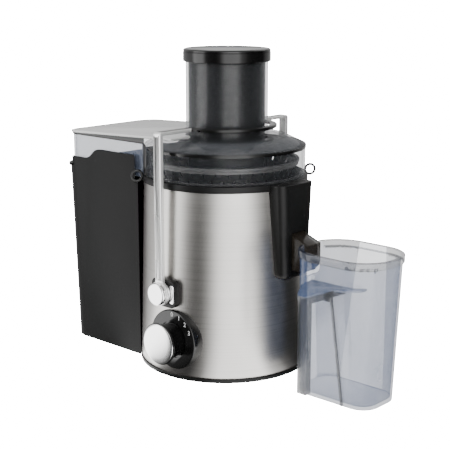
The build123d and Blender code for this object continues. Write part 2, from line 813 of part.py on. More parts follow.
# ------------------------------------------------------------------ pulp container
def pulp_solid(inset, z0, z1):
    """The container's block between two heights, tapering downwards, inset by a wall."""
    lean = math.tan(math.radians(pulp_draft))
    drop_top = (pulp_side_rim_z - z1) * lean
    drop_bottom = (pulp_side_rim_z - z0) * lean
    sections = []
    for z, drop in ((z0, drop_bottom), (z1, drop_top)):
        shrink = drop + inset
        sections.append(
            rounded_plan(pulp_end_x + shrink, -20, pulp_half_width - shrink, pulp_corner - inset, z)
        )
    return loft(sections)


def make_pulp_container():
    floor_z = pulp_foot_height
    shell = pulp_solid(0, floor_z, pulp_side_rim_z)
    body_radius = sleeve_bottom_radius + pulp_body_gap
    hollow = pulp_solid(pulp_wall, floor_z + pulp_wall, pulp_side_rim_z)
    hollow -= disc(body_radius + pulp_wall, 0, pulp_side_rim_z + 5)
    shell -= hollow
    shell -= disc(body_radius, 0, pulp_side_rim_z + 5)
    # The wall that faces the body stops under the bowl's outlet for the pulp.
    inner_reach = body_radius + pulp_wall + 0.5
    shell -= disc(inner_reach, pulp_inner_rim_z, pulp_side_rim_z + 5)
    # The rim is high beside the hood and drops in an S-curve to the outer end.
    with BuildPart() as cutter:
        with BuildSketch(Plane.XZ.offset(-cut_reach / 2)):
            with BuildLine():
                outside_x = pulp_end_x - 20
                above_z = pulp_side_rim_z + 20
                step_x = pulp_end_x + pulp_step_x
                curve_start = (pulp_end_x + pulp_curve_start, pulp_low_rim_z)
                curve_end = (pulp_end_x + pulp_curve_end, pulp_side_rim_z)
                Polyline((outside_x, pulp_end_rim_z), (step_x, pulp_end_rim_z), (step_x, pulp_low_rim_z), curve_start)
                Spline(curve_start, curve_end, tangents=((1, 0), (1, 0)))
                Polyline(
                    curve_end, (curve_end[0], above_z), (outside_x, above_z), (outside_x, pulp_end_rim_z)
                )
            make_face()
        extrude(amount=cut_reach)
    shell -= cutter.part
    return shell + end_lip()


def end_lip():
    """A small outward lip along the low rim of the outer end."""
    bottom = pulp_end_rim_z - pulp_wall
    outer = rounded_plan(pulp_lip_x, -20, pulp_half_width - rim_lean + pulp_lip, pulp_corner + pulp_lip, bottom)
    inner = rounded_plan(
        pulp_end_x + rim_lean + 0.8, -20, pulp_half_width - rim_lean - 0.8, pulp_corner - 0.8, bottom
    )
    lip = extrude(outer - inner, pulp_wall)
    return lip & block(pulp_end_x - 20, pulp_end_x + pulp_step_x, -100, 100, 0, pulp_end_rim_z)


def make_pulp_feet():
    feet = []
    first_x = pulp_end_x + pulp_foot_inset
    for x in (first_x, first_x + pulp_foot_pitch):
        for y in (-pulp_foot_offset, pulp_foot_offset):
            foot = disc(6, 0, pulp_foot_height, x, y)
            feet.append(fillet(foot.edges().group_by(Axis.Z)[0], 0.8))
    return group(feet)


# ------------------------------------------------------------------ locking arm
def make_locking_arm():
    """A bail: two legs beside the body and a bar that runs round the chute on the spout's side."""
    half = leg_width / 2
    x0 = pivot_x - half
    x1 = pivot_x + half
    bar_top = arm_bar_z + arm_thickness
    arm = tube(arm_bar_outer, arm_bar_inner, arm_bar_z, bar_top)
    arm -= block(-100, x0, -100, 100, arm_bar_z - 1, bar_top + 1)
    for side in (-1, 1):
        y0, y1 = sorted((side * arm_bar_inner, side * leg_outer_y))
        arm += block(x0, x1, y0, y1, arm_bar_z, bar_top)
        y0, y1 = sorted((side * leg_inner_y, side * leg_outer_y))
        arm += block(x0, x1, y0, y1, pivot_z, bar_top)
        arm += side_rod(arm_disc_radius, y0, y1, pivot_x, pivot_z)
        arm -= side_rod(pivot_pin_radius + bearing_gap, y0 - 1, y1 + 1, pivot_x, pivot_z)
    corners = [
        e for e in arm.edges().filter_by(Axis.X)
        if abs(abs(e.center().Y) - leg_outer_y) < 0.01 and abs(e.center().Z - bar_top) < 0.01
    ]
    return fillet(corners, arm_thickness - 0.3)


def make_pivot_caps():
    start = leg_outer_y + seat_gap
    caps = []
    for side in (-1, 1):
        y0, y1 = sorted((side * start, side * (start + pivot_cap_height)))
        cap = side_rod(pivot_cap_radius, y0, y1, pivot_x, pivot_z)
        rim = cap.edges().group_by(Axis.Y)[0 if side < 0 else -1]
        caps.append(fillet(rim, 1.6))
    return group(caps)


def make_pivot_plates():
    """Black blocks on the two sides of the body that carry the arm's pins."""
    plates = []
    half = pivot_plate_height / 2
    for side in (-1, 1):
        y0, y1 = sorted((side * 60, side * pivot_plate_face))
        x0 = pivot_x - pivot_plate_setback
        plate = block(x0, x0 + pivot_plate_width, y0, y1, pivot_z - half, pivot_z + half)
        plate = fillet(plate.edges().filter_by(Axis.Y), 6)
        plate -= body_cone(seat_gap)
        plate -= side_rod(pivot_pin_radius + seat_gap, y0 - 1, y1 + 1, pivot_x, pivot_z)
        plate -= tile_block(side, seat_gap)
        plates.append(plate)
    return group(plates)


def make_pivot_pins():
    pins = []
    inner_end = sleeve_radius_at(pivot_z) - sleeve_thickness - housing_wall - 2.0
    for side in (-1, 1):
        y0, y1 = sorted((side * inner_end, side * leg_outer_y))
        pin = side_rod(pivot_pin_radius, y0, y1, pivot_x, pivot_z)
        y0, y1 = sorted((side * inner_end, side * (inner_end - 3)))
        pins.append(pin + side_rod(pivot_pin_radius + 4, y0, y1, pivot_x, pivot_z))
    return group(pins)


def tile_block(side, grow):
    """The inlay beside a pivot; grown by a clearance, it is the inlay's pocket."""
    x1 = pivot_x - pivot_plate_setback + pivot_plate_width - tile_margin
    y0, y1 = sorted((side * (pivot_plate_face - tile_depth - grow / 2), side * (pivot_plate_face + seat_gap / 2 + grow)))
    tile = block(
        x1 - tile_width - grow, x1 + grow, y0, y1, pivot_z - tile_height / 2 - grow, pivot_z + tile_height / 2 + grow
    )
    return fillet(tile.edges().filter_by(Axis.Y), 2)


def make_pivot_tiles():
    """Small bare inlays beside the pivots."""
    return group([tile_block(side, 0) for side in (-1, 1)])


# ------------------------------------------------------------------ speed knob
def make_knob_bezel():
    bezel = side_rod(bezel_radius, -bezel_face, -60, knob_x, knob_z)
    bezel = fillet(bezel.edges().group_by(Axis.Y)[0], 1.5)
    bezel -= body_cone(seat_gap)
    bezel -= disc(sleeve_bottom_radius, 0, sleeve_bottom_z)
    bezel += side_rod(bezel_neck_radius, -bezel_face + bezel_recess + 2, -72, knob_x, knob_z)
    bezel -= side_rod(knob_base_radius + 2, -bezel_face - 1, -bezel_face + bezel_recess, knob_x, knob_z)
    bezel -= side_rod(spindle_radius + bearing_gap, -bezel_face - 1, -60, knob_x, knob_z)
    return bezel.solids().sort_by(SortBy.VOLUME)[-1]


def make_knob():
    taper = Cone(knob_base_radius, knob_radius, knob_depth, align=(Align.CENTER, Align.CENTER, Align.MIN))
    knob = Pos(knob_x, knob_seat_y, knob_z) * Rot(90, 0, 0) * taper
    knob -= side_rod(spindle_radius, knob_front_y + 5, -60, knob_x, knob_z)
    return knob


def make_knob_cap():
    cap = side_rod(knob_cap_radius, knob_front_y - knob_cap_height, knob_front_y, knob_x, knob_z)
    return fillet(cap.edges().group_by(Axis.Y)[0], 1.2)


def make_knob_spindle():
    return side_rod(spindle_radius, knob_front_y + 5, switch_face_y + 6, knob_x, knob_z)


def make_speed_switch():
    """Rotary switch behind the bezel, with a socket for the spindle and two terminals."""
    half = switch_half_width
    back = switch_face_y + 18
    switch = block(knob_x - half, knob_x + half, switch_face_y, back, knob_z - half, knob_z + half)
    switch -= side_rod(spindle_radius + bearing_gap, switch_face_y - 1, switch_face_y + 7, knob_x, knob_z)
    for dz in (-8, 8):
        switch += block(knob_x - 3, knob_x + 3, back, back + 5, knob_z + dz - 0.5, knob_z + dz + 0.5)
    return switch


# ------------------------------------------------------------------ jug
def jug_section(z, inset):
    share = z / jug_height
    x0 = jug_bottom_x0 + (jug_top_x0 - jug_bottom_x0) * share + inset
    x1 = jug_bottom_x1 + (jug_top_x1 - jug_bottom_x1) * share - inset
    half = jug_bottom_half_width + (jug_top_half_width - jug_bottom_half_width) * share - inset
    corner = jug_bottom_corner + (jug_top_corner - jug_bottom_corner) * share - inset
    return rounded_plan(x0, x1, half, corner, z)


def make_jug():
    jug = loft([jug_section(0, 0), jug_section(jug_height, 0)])
    band_z = jug_height - jug_rim_height
    jug += loft([jug_section(band_z, -jug_rim_proud), jug_section(jug_height, -jug_rim_proud)])
    jug -= loft([jug_section(jug_floor, jug_wall), jug_section(jug_height + 0.001, jug_wall)])
    notch_half = nozzle_half_width + notch_gap
    notch = block(60, jug_top_x0 + 12, -notch_half, notch_half, nozzle_bottom_z - notch_gap, jug_height + 5)
    return jug - fillet(notch.edges().filter_by(Axis.X).group_by(Axis.Z)[0], 4)


def make_jug_handle():
    """Handle on the jug's side: a flat web at the top, an upright grip that hangs from it and a rail down the wall."""
    wall_y = -jug_bottom_half_width
    grip_y0 = -handle_reach
    root_x0 = jug_top_x0 + handle_start
    root_x1 = root_x0 + handle_root
    grip_x0 = jug_top_x0 + grip_setback
    grip_x1 = grip_x0 + grip_width
    web = extrude(
        Pos(0, 0, handle_top_z - handle_thickness) * make_face(Polyline(
            (root_x0, wall_y), (root_x1, wall_y), (grip_x1, grip_y0), (grip_x0, grip_y0),
            (grip_x0 - 4, grip_y0 + 4), (root_x0 + 5, grip_y0 + 28), close=True,
        )), handle_thickness, dir=(0, 0, 1),
    )
    flange = extrude(
        Pos(0, 0, handle_top_z - flange_thickness) * make_face(Polyline(
            (root_x1 - 8, wall_y), (root_x1 + handle_flange, wall_y),
            (root_x1 + handle_flange, -jug_top_half_width + 1), (root_x1 - 5, wall_y - 25), close=True,
        )), flange_thickness, dir=(0, 0, 1),
    )
    handle = web + flange
    handle += block(grip_x0, grip_x1, grip_y0, grip_y0 + grip_depth, handle_bottom_z, handle_top_z)
    rail_x = jug_top_x0 + rail_setback
    rail = loft([
        rail_section(rail_x + rail_lean, rail_bottom_z), rail_section(rail_x, rail_top_z),
    ])
    handle += rail + block(rail_x - 6, rail_x + rail_width, -jug_top_half_width - 1, wall_y, rail_top_z, handle_top_z)
    return handle - loft([jug_section(0, -seat_gap), jug_section(jug_height, -seat_gap)])


def rail_section(x, z):
    """The rail's outline at a height, from inside the jug's wall to a little outside it."""
    share = z / jug_height
    face = jug_bottom_half_width + (jug_top_half_width - jug_bottom_half_width) * share
    return Pos(x + rail_width / 2, -face, z) * Rectangle(rail_width, 2 * rail_proud)


# ------------------------------------------------------------------ build and write
makers = {
    "base_cover": make_base_cover,
    "rubber_feet": make_feet,
    "base_screws": make_base_screws,
    "steel_sleeve": make_steel_sleeve,
    "motor_housing": make_motor_housing,
    "motor_deck": make_motor_deck,
    "cord_inlet": make_cord_inlet,
    "lower_bearing": make_lower_bearing,
    "upper_bearing": make_upper_bearing,
    "lower_bracket": make_lower_bracket,
    "upper_bracket": make_upper_bracket,
    "field_core": make_field_core,
    "field_coils": make_field_coils,
    "motor_bolts": make_motor_bolts,
    "motor_mounts": make_motor_mounts,
    "brush_holders": make_brush_holders,
    "carbon_brushes": make_carbon_brushes,
    "motor_shaft": make_motor_shaft,
    "armature": make_armature,
    "commutator": make_commutator,
    "cooling_fan": make_cooling_fan,
    "filter_bowl": make_filter_bowl,
    "spout_housing": make_spout_housing,
    "spout_nozzle": make_spout_nozzle,
    "bowl_seal": make_bowl_seal,
    "bowl_ears": make_bowl_ears,
    "drive_coupling": make_drive_coupling,
    "basket_base": make_basket_base,
    "basket_mesh": make_basket_mesh,
    "basket_rim": make_basket_rim,
    "grater_disc": make_grater_disc,
    "basket_nut": make_basket_nut,
    "lid": make_lid,
    "lid_band": make_lid_band,
    "pulp_hood": make_pulp_hood,
    "hood_top": make_hood_top,
    "hood_rim": make_hood_rim,
    "pusher_body": make_pusher_body,
    "pusher_cap": make_pusher_cap,
    "pulp_container": make_pulp_container,
    "pulp_feet": make_pulp_feet,
    "locking_arm": make_locking_arm,
    "pivot_caps": make_pivot_caps,
    "pivot_plates": make_pivot_plates,
    "pivot_pins": make_pivot_pins,
    "pivot_tiles": make_pivot_tiles,
    "knob_bezel": make_knob_bezel,
    "knob": make_knob,
    "knob_cap": make_knob_cap,
    "knob_spindle": make_knob_spindle,
    "speed_switch": make_speed_switch,
    "jug": make_jug,
    "jug_handle": make_jug_handle,
}

for name, make in makers.items():
    parts[name] = group([Pos(-centre_x, -centre_y, 0) * solid for solid in make().solids()])
    export_step(parts[name], f"parts/{name}.step")
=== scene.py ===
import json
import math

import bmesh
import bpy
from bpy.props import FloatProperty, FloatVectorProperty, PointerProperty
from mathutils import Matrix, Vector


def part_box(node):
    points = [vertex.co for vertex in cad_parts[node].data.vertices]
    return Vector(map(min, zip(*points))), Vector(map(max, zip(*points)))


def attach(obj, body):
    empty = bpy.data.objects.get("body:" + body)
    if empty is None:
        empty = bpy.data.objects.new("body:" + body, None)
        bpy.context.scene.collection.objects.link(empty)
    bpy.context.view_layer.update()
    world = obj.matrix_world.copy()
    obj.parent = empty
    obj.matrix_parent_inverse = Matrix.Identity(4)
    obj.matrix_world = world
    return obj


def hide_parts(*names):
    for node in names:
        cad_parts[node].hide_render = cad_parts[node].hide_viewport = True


bl_info = {
    "name": "Centrifugal juicer",
    "version": (1, 0, 0),
    "blender": (4, 5, 0),
    "location": "View3D > Sidebar > Juicer",
    "description": "Dresses the centrifugal juicer's frame with finished pieces and materials",
    "category": "Object",
}

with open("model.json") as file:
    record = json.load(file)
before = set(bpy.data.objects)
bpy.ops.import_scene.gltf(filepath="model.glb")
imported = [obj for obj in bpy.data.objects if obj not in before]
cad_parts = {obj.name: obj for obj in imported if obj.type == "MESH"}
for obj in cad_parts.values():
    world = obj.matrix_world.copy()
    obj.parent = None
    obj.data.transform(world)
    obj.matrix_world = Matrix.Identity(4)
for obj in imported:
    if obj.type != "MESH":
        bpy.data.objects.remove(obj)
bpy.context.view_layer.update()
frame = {"nodes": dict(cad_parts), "record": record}
NODES = frame["nodes"]
RECORD = frame["record"]
BODY_OF = {node: body for body, nodes in RECORD["behaviour"]["bodies"].items() for node in nodes}
SLOT_OF = {part["node"]: part["material_slot"] for part in RECORD["subparts"]}
SPIN = next(joint for joint in RECORD["behaviour"]["joints"] if joint["name"] == "rotor_spin")
MOTOR_AXIS = Vector(SPIN["pos_m"][:2] + [0])
MM = 0.001
GROUPS = {}          # shared node groups, by what they are for
MATERIALS = {}       # finished materials, by name

FLOOR_WIDTH = 12.0
FLOOR_DROP = 0.0003          # keeps the floor clear of what stands on it
ROOM_TONE = (0.8, 0.8, 0.8, 1.0)
OVERHEAD = (0.25, 0.75)      # how far up the bands of the room fade into its white ceiling
CAMERA_SENSOR = 36.0
LAMP_AIM = Vector((0, 0, 0.15))
# Name, place, width and share of the key's power.
LAMPS = (
    ("key", (-0.9, -1.3, 1.5), 1.2, 1.0),
    ("fill", (1.5, -0.9, 0.9), 0.9, 0.5),
    ("rim", (0.4, 1.4, 1.3), 1.0, 0.5),
)
# Directions round the motor axis, in degrees, and how bright the room is there.
STUDIO_BANDS = (
    (-168, 0.9), (-150, 1.2), (-140, 4.5), (-114, 4.5), (-103, 0.5), (-92, 0.12), (-76, 0.06), (-66, 0.5), (-52, 4.0),
    (-18, 4.6), (-8, 1.6), (8, 0.25), (20, 0.06), (58, 0.03), (72, 0.5), (110, 0.8), (150, 0.7),
)


# ------------------------------------------------------------------ tones of the finishes
# Opaque mouldings: darker and lighter colour, roughness from and to, and what differs from the usual.
MOULDED = {
    "black_plastic": ((0.005,) * 3, (0.009,) * 3, (0.3, 0.42), {"speckle": 0.25, "shine": 0.16}),
    "black_satin": ((0.005,) * 3, (0.008,) * 3, (0.3, 0.4), {"speckle": 0.1, "shine": 0.08}),
    "black_gloss": ((0.003,) * 3, (0.006,) * 3, (0.06, 0.12), {"speckle": 0.03, "shine": 0.35}),
    "pusher_black": ((0.003,) * 3, (0.006,) * 3, (0.12, 0.18), {"speckle": 0.03, "shine": 0.3}),
    "rubber": ((0.012, 0.012, 0.013), (0.02, 0.02, 0.021), (0.65, 0.8), {"speckle": 0.5, "scale": 900.0}),
    "graphite": ((0.03,) * 3, (0.06,) * 3, (0.5, 0.65), {"speckle": 0.4}),
    "fan_plastic": ((0.6, 0.6, 0.55), (0.72, 0.72, 0.68), (0.4, 0.5), {}),
    "silver_arm": (
        (0.74, 0.74, 0.73), (0.84, 0.84, 0.83), (0.2, 0.3), {"speckle": 0.06, "coat": 0.5, "metal": 0.55}),
    # arm_channel: painted shade, a darker silver for the strips inside the legs' channel
    "arm_channel": ((0.46,) * 3, (0.54,) * 3, (0.25, 0.35), {"speckle": 0.06}),
    "grey_gloss": ((0.66, 0.66, 0.65), (0.74, 0.74, 0.73), (0.12, 0.2), {"speckle": 0.04, "coat": 0.5}),
    "basket_rim_grey": ((0.05,) * 3, (0.09,) * 3, (0.35, 0.45), {}),
    "dial_white": ((0.7,) * 3, (0.82,) * 3, (0.3, 0.4), {"speckle": 0.05}),
}
# Brushed metals: the two colours, roughness from and to, how the grain is stretched, and its relief.
BRUSHED = {
    "steel_brushed": ((0.40, 0.39, 0.372), (0.45, 0.438, 0.42), (0.29, 0.34), (3.0, 3.0, 900.0), 0.012),
    "steel_fine": ((0.10, 0.10, 0.105), (0.16, 0.16, 0.16), (0.3, 0.42), (60.0, 60.0, 700.0), 0.03),
    "steel_plate": ((0.25, 0.25, 0.26), (0.4, 0.4, 0.4), (0.4, 0.55), (50.0, 50.0, 1500.0), 0.12),
    "copper": ((0.45, 0.18, 0.08), (0.7, 0.33, 0.16), (0.3, 0.45), (200.0, 900.0, 60.0), 0.12),
}
# Bright metals: the colour, and roughness from and to.
POLISHED = {
    "steel_bright": ((0.72, 0.72, 0.72), (0.18, 0.28)),
    "chrome": ((0.93, 0.93, 0.93), (0.05, 0.1)),
    "face_silver": ((0.97, 0.97, 0.96), (0.18, 0.24)),
}
# Clear mouldings: the two colours, roughness from and to, cover from and to, more cover on the slant, index of
# refraction, shine, and the share of the cover that is left when a surface is seen from behind.
CLEAR = {
    "clear_plastic": (
        (0.10, 0.11, 0.12), (0.14, 0.15, 0.165), (0.05, 0.1), (0.05, 0.08), 0.65, 1.7, 0.35, 1.0),
    # lid_top_clear: painted light, a lighter and more covering copy of the clear finish for the lid's top
    "lid_top_clear": (
        (0.14, 0.15, 0.165), (0.2, 0.21, 0.23), (0.05, 0.1), (0.13, 0.17), 0.6, 1.7, 0.35, 1.0),
    "hood_clear": (
        (0.22, 0.27, 0.38), (0.28, 0.33, 0.45), (0.05, 0.1), (0.20, 0.24), 0.6, 1.7, 0.35, 1.0),
    "clear_smoke": (
        (0.075, 0.115, 0.23), (0.10, 0.145, 0.275), (0.05, 0.09), (0.52, 0.56), 0.4, 1.7, 0.35, 0.2),
    "smoky_nozzle": (
        (0.012, 0.010, 0.008), (0.03, 0.025, 0.02), (0.12, 0.18), (0.74, 0.84), 0.2, 1.4, 0.2, 1.0),
    # jug_edge: painted shade lines along the top and lower edges of the rim band
    "jug_edge": (
        (0.016, 0.021, 0.034), (0.03, 0.036, 0.052), (0.08, 0.12), (0.66, 0.76), 0.3, 1.6, 0.5, 1.0),
    "jug_band": (
        (0.05, 0.06, 0.085), (0.08, 0.092, 0.125), (0.08, 0.12), (0.54, 0.6), 0.3, 1.6, 0.35, 0.15),
    # jug_line: painted shade for the crease along the floor's inner edge
    "jug_line": (
        (0.006, 0.008, 0.018), (0.012, 0.016, 0.03), (0.15, 0.2), (0.86, 0.94), 0.1, 1.4, 0.2, 1.0),
    # jug_inside: painted light, a lighter copy of the jug's clear finish for its inner walls
    "jug_inside": (
        (0.66, 0.72, 0.86), (0.74, 0.8, 0.94), (0.05, 0.1), (0.30, 0.36), 0.3, 2.3, 0.5, 0.3),
    "handle_smoke": (
        (0.035, 0.037, 0.042), (0.055, 0.058, 0.065), (0.08, 0.14), (0.46, 0.56), 0.3, 1.6, 0.5, 1.0),
}


# ------------------------------------------------------------------ user settings
class JuicerView(bpy.types.PropertyGroup):
    """Where the camera stands, and how bright the lights and the paper are"""

    azimuth: FloatProperty(
        name="Azimuth", description="Turn of the camera about the juicer",
        default=math.radians(42.5), subtype="ANGLE")
    distance: FloatProperty(
        name="Distance", description="Level distance from the motor axis", default=1.051, unit="LENGTH")
    height: FloatProperty(
        name="Height", description="Height of the lens above the table", default=0.381, unit="LENGTH")
    tilt: FloatProperty(
        name="Tilt", description="Downward tilt of the camera", default=math.radians(12.9), subtype="ANGLE")
    lens: FloatProperty(name="Lens", description="Focal length", default=85.4)
    key_power: FloatProperty(name="Key light", description="Power of the main soft light", default=6.0)
    paper_white: FloatProperty(
        name="Paper white", description="Brightness of the paper behind and below", default=30.0)
    paper_through: FloatProperty(
        name="Paper seen through", description="Its brightness seen through clear pieces", default=2.4)


class JuicerSizes(bpy.types.PropertyGroup):
    """Sizes of the details that the finished pieces add to the frame's shapes"""

    sleeve_top_radius: FloatProperty(
        name="Sleeve top radius", description="Outer radius of the steel tube at its top",
        default=0.0808, unit="LENGTH")
    sleeve_wall: FloatProperty(
        name="Sleeve wall", description="Depth of the rolled edges", default=0.0008, unit="LENGTH")
    sleeve_roll: FloatProperty(
        name="Sleeve roll", description="Radius of the rolled edges", default=0.0006, unit="LENGTH")
    # Inside this distance the arm's chrome bar is painted black: a painted dark reflection of the chute.
    arm_leg_side: FloatProperty(
        name="Arm leg side", description="Where the arm's black bar ends, from the motor axis",
        default=0.058, unit="LENGTH")
    channel_margin: FloatProperty(
        name="Channel margin", description="Width of the raised edges of the arm's legs",
        default=0.0018, unit="LENGTH")
    channel_depth: FloatProperty(
        name="Channel depth", description="Depth of the channel in the arm's legs", default=0.0006, unit="LENGTH")
    jug_rim_proud: FloatProperty(
        name="Jug rim proud", description="How far the rim band stands out", default=0.0016, unit="LENGTH")
    jug_rim_height: FloatProperty(
        name="Jug rim height", description="Height of the rim band", default=0.007, unit="LENGTH")
    # The floor's inner edge just above this height gets painted shade.
    jug_floor: FloatProperty(
        name="Jug floor", description="Height just above which the floor's inner edge looks darker",
        default=0.0032, unit="LENGTH")
    chute_foot_radius: FloatProperty(
        name="Chute foot radius", description="Radius inside which the lid's top belongs to the chute",
        default=0.046, unit="LENGTH")
    nozzle_drop: FloatProperty(
        name="Nozzle drop", description="How much lower the nozzle's open end is on top",
        default=0.009, unit="LENGTH")
    nozzle_pull: FloatProperty(
        name="Nozzle pull", description="How far the nozzle's open end is drawn back", default=0.005, unit="LENGTH")
    number_height: FloatProperty(
        name="Number height", description="Height of the dial's numbers", default=0.0062, unit="LENGTH")
    number_relief: FloatProperty(
        name="Number relief", description="How far the numbers stand up", default=0.0001, unit="LENGTH")
    number_ring: FloatProperty(
        name="Number ring", description="Distance of the numbers from the knob's middle",
        default=0.0252, unit="LENGTH")


class JuicerColours(bpy.types.PropertyGroup):
    """Light tones of the main finishes, by the finish's name; each one varies towards its own darker tone"""

    steel_brushed: FloatVectorProperty(
        name="Steel", description="Sleeve round the motor", default=BRUSHED["steel_brushed"][1], subtype="COLOR")
    black_plastic: FloatVectorProperty(
        name="Black plastic", description="Base cover, bowl, spout and the arm's pivot plates",
        default=MOULDED["black_plastic"][1], subtype="COLOR")
    black_satin: FloatVectorProperty(
        name="Satin plastic", description="Pulp container", default=MOULDED["black_satin"][1], subtype="COLOR")
    black_gloss: FloatVectorProperty(
        name="Glossy plastic", description="Knob, bands, pusher's cap and the arm's bar",
        default=MOULDED["black_gloss"][1], subtype="COLOR")
    silver_arm: FloatVectorProperty(
        name="Arm", description="Legs of the locking arm", default=MOULDED["silver_arm"][1], subtype="COLOR")
    grey_gloss: FloatVectorProperty(
        name="Hood top", description="Top plate of the hood", default=MOULDED["grey_gloss"][1], subtype="COLOR")
    clear_plastic: FloatVectorProperty(
        name="Lid", description="Clear skirt and chute of the lid",
        default=CLEAR["clear_plastic"][1], subtype="COLOR")
    hood_clear: FloatVectorProperty(
        name="Hood", description="Clear walls of the hood", default=CLEAR["hood_clear"][1], subtype="COLOR")
    clear_smoke: FloatVectorProperty(
        name="Jug", description="Clear walls of the jug", default=CLEAR["clear_smoke"][1], subtype="COLOR")


# ------------------------------------------------------------------ stage
class JUICER_OT_stage(bpy.types.Operator):
    """Adds the floor, the soft lights and the camera"""

    bl_idname = "juicer.stage"
    bl_label = "Stage"

    def execute(self, context):
        view = context.scene.juicer_view
        bpy.ops.object.select_all(action="DESELECT")
        bpy.ops.mesh.primitive_plane_add(size=FLOOR_WIDTH, location=(0, 0, -FLOOR_DROP))
        floor = context.object
        floor.name = "floor"
        floor.data.materials.append(make_floor_paint(view))
        add_camera(context, view)
        add_lights(context, view)
        return {"FINISHED"}


def seen_directly(tree, x, y):
    """One where the camera sees the paper with nothing clear in front of it, and zero elsewhere."""
    ray = node_of(tree, "ShaderNodeLightPath", x, y)
    nothing_before = node_of(tree, "ShaderNodeMath", x + 200, y - 100, operation="LESS_THAN")
    nothing_before.inputs[1].default_value = 0.5
    both = node_of(tree, "ShaderNodeMath", x + 400, y, operation="MULTIPLY")
    tree.links.new(ray.outputs["Transparent Depth"], nothing_before.inputs[0])
    tree.links.new(ray.outputs["Is Camera Ray"], both.inputs[0])
    tree.links.new(nothing_before.outputs[0], both.inputs[1])
    return both.outputs[0]


def shown_paper(tree, view, emitter, usual, x, y):
    """Mixes in the paper: bright where the camera sees it directly, softer through clear pieces."""
    through = node_of(tree, emitter, x, y - 200)
    through.inputs["Strength"].default_value = view.paper_through
    plain = node_of(tree, emitter, x, y - 400)
    plain.inputs["Strength"].default_value = view.paper_white
    ray = node_of(tree, "ShaderNodeLightPath", x, y + 300)
    first = node_of(tree, "ShaderNodeMixShader", x + 200, y)
    second = node_of(tree, "ShaderNodeMixShader", x + 400, y)
    tree.links.new(ray.outputs["Is Camera Ray"], first.inputs[0])
    tree.links.new(usual, first.inputs[1])
    tree.links.new(through.outputs[0], first.inputs[2])
    tree.links.new(seen_directly(tree, x - 600, y + 500), second.inputs[0])
    tree.links.new(first.outputs[0], second.inputs[1])
    tree.links.new(plain.outputs[0], second.inputs[2])
    return second.outputs[0]


def room_tone(tree, x, y):
    """Adds the nodes that tell how bright the room is in a direction.

    Returns the node that takes the direction and the socket that gives the tone.
    """
    axes = node_of(tree, "ShaderNodeSeparateXYZ", x, y)
    turn = node_of(tree, "ShaderNodeMath", x + 200, y, operation="ARCTAN2")
    share = node_of(tree, "ShaderNodeMapRange", x + 400, y)
    share.inputs["From Min"].default_value = -math.pi
    share.inputs["From Max"].default_value = math.pi
    bands = node_of(tree, "ShaderNodeValToRGB", x + 600, y)
    stops = bands.color_ramp.elements
    stops[0].position, stops[0].color = 0.0, ROOM_TONE
    stops[1].position, stops[1].color = 1.0, ROOM_TONE
    for degrees, tone in STUDIO_BANDS:
        stop = stops.new((degrees + 180) / 360)
        stop.color = (tone, tone, tone, 1)
    tree.links.new(axes.outputs["Y"], turn.inputs[0])
    tree.links.new(axes.outputs["X"], turn.inputs[1])
    tree.links.new(turn.outputs[0], share.inputs["Value"])
    tree.links.new(share.outputs[0], bands.inputs[0])
    return axes, bands.outputs[0]


def make_floor_paint(view):
    """White paper: plain and bright to the camera, and to mirrors as banded as the room above it."""
    paint = new_material("floor_white")
    tree = paint.node_tree
    place = node_of(tree, "ShaderNodeTexCoord", -1900, -500)
    centred = node_of(tree, "ShaderNodeVectorMath", -1700, -500, operation="SUBTRACT")
    centred.inputs[1].default_value = MOTOR_AXIS
    axes, tone = room_tone(tree, -1500, -500)
    mirrored = node_of(tree, "ShaderNodeEmission", -500, -500)
    ray = node_of(tree, "ShaderNodeLightPath", -500, 0)
    matte = node_of(tree, "ShaderNodeMixShader", -100, 0)
    tree.links.new(place.outputs["Object"], centred.inputs[0])
    tree.links.new(centred.outputs[0], axes.inputs[0])
    tree.links.new(tone, mirrored.inputs["Color"])
    tree.links.new(ray.outputs["Is Glossy Ray"], matte.inputs[0])
    tree.links.new(shader_of(paint).outputs[0], matte.inputs[1])
    tree.links.new(mirrored.outputs[0], matte.inputs[2])
    set_plain(paint, Base_Color=ROOM_TONE[:3], Roughness=0.9)
    shown = shown_paper(tree, view, "ShaderNodeEmission", matte.outputs[0], 200, 200)
    tree.links.new(shown, tree.nodes["Material Output"].inputs["Surface"])
    return paint


def make_studio(view):
    """A white room with dark and light stretches, which give the steel its upright bands."""
    world = bpy.data.worlds.new("studio")
    world.use_nodes = True
    tree = world.node_tree
    link = tree.links.new
    place = node_of(tree, "ShaderNodeTexCoord", -1300, 0)
    axes, tone = room_tone(tree, -1100, 0)
    overhead = node_of(tree, "ShaderNodeMapRange", -700, -300)
    overhead.inputs["From Min"].default_value = OVERHEAD[0]
    overhead.inputs["From Max"].default_value = OVERHEAD[1]
    blend = node_of(tree, "ShaderNodeMix", -250, 0, data_type="RGBA")
    blend.inputs["B"].default_value = (1, 1, 1, 1)
    room = tree.nodes["Background"]
    room.location = (0, 0)
    room.inputs["Strength"].default_value = 1.0
    link(place.outputs["Generated"], axes.inputs[0])
    link(axes.outputs["Z"], overhead.inputs["Value"])
    link(overhead.outputs[0], blend.inputs["Factor"])
    link(tone, blend.inputs["A"])
    link(blend.outputs["Result"], room.inputs["Color"])
    shown = shown_paper(tree, view, "ShaderNodeBackground", room.outputs[0], 250, 0)
    link(shown, tree.nodes["World Output"].inputs["Surface"])
    return world


def add_camera(context, view):
    """The camera stands level in front of the motor axis and tilts down."""
    back = Vector((math.sin(view.azimuth), -math.cos(view.azimuth), 0))
    place = MOTOR_AXIS + back * view.distance + Vector((0, 0, view.height))
    aim = -back * math.cos(view.tilt) - Vector((0, 0, math.sin(view.tilt)))
    camera = bpy.data.objects.new("camera", bpy.data.cameras.new("camera"))
    context.scene.collection.objects.link(camera)
    camera.data.lens = view.lens
    camera.data.sensor_width = CAMERA_SENSOR
    camera.location = place
    camera.rotation_euler = aim.to_track_quat("-Z", "Y").to_euler()
    context.scene.camera = camera


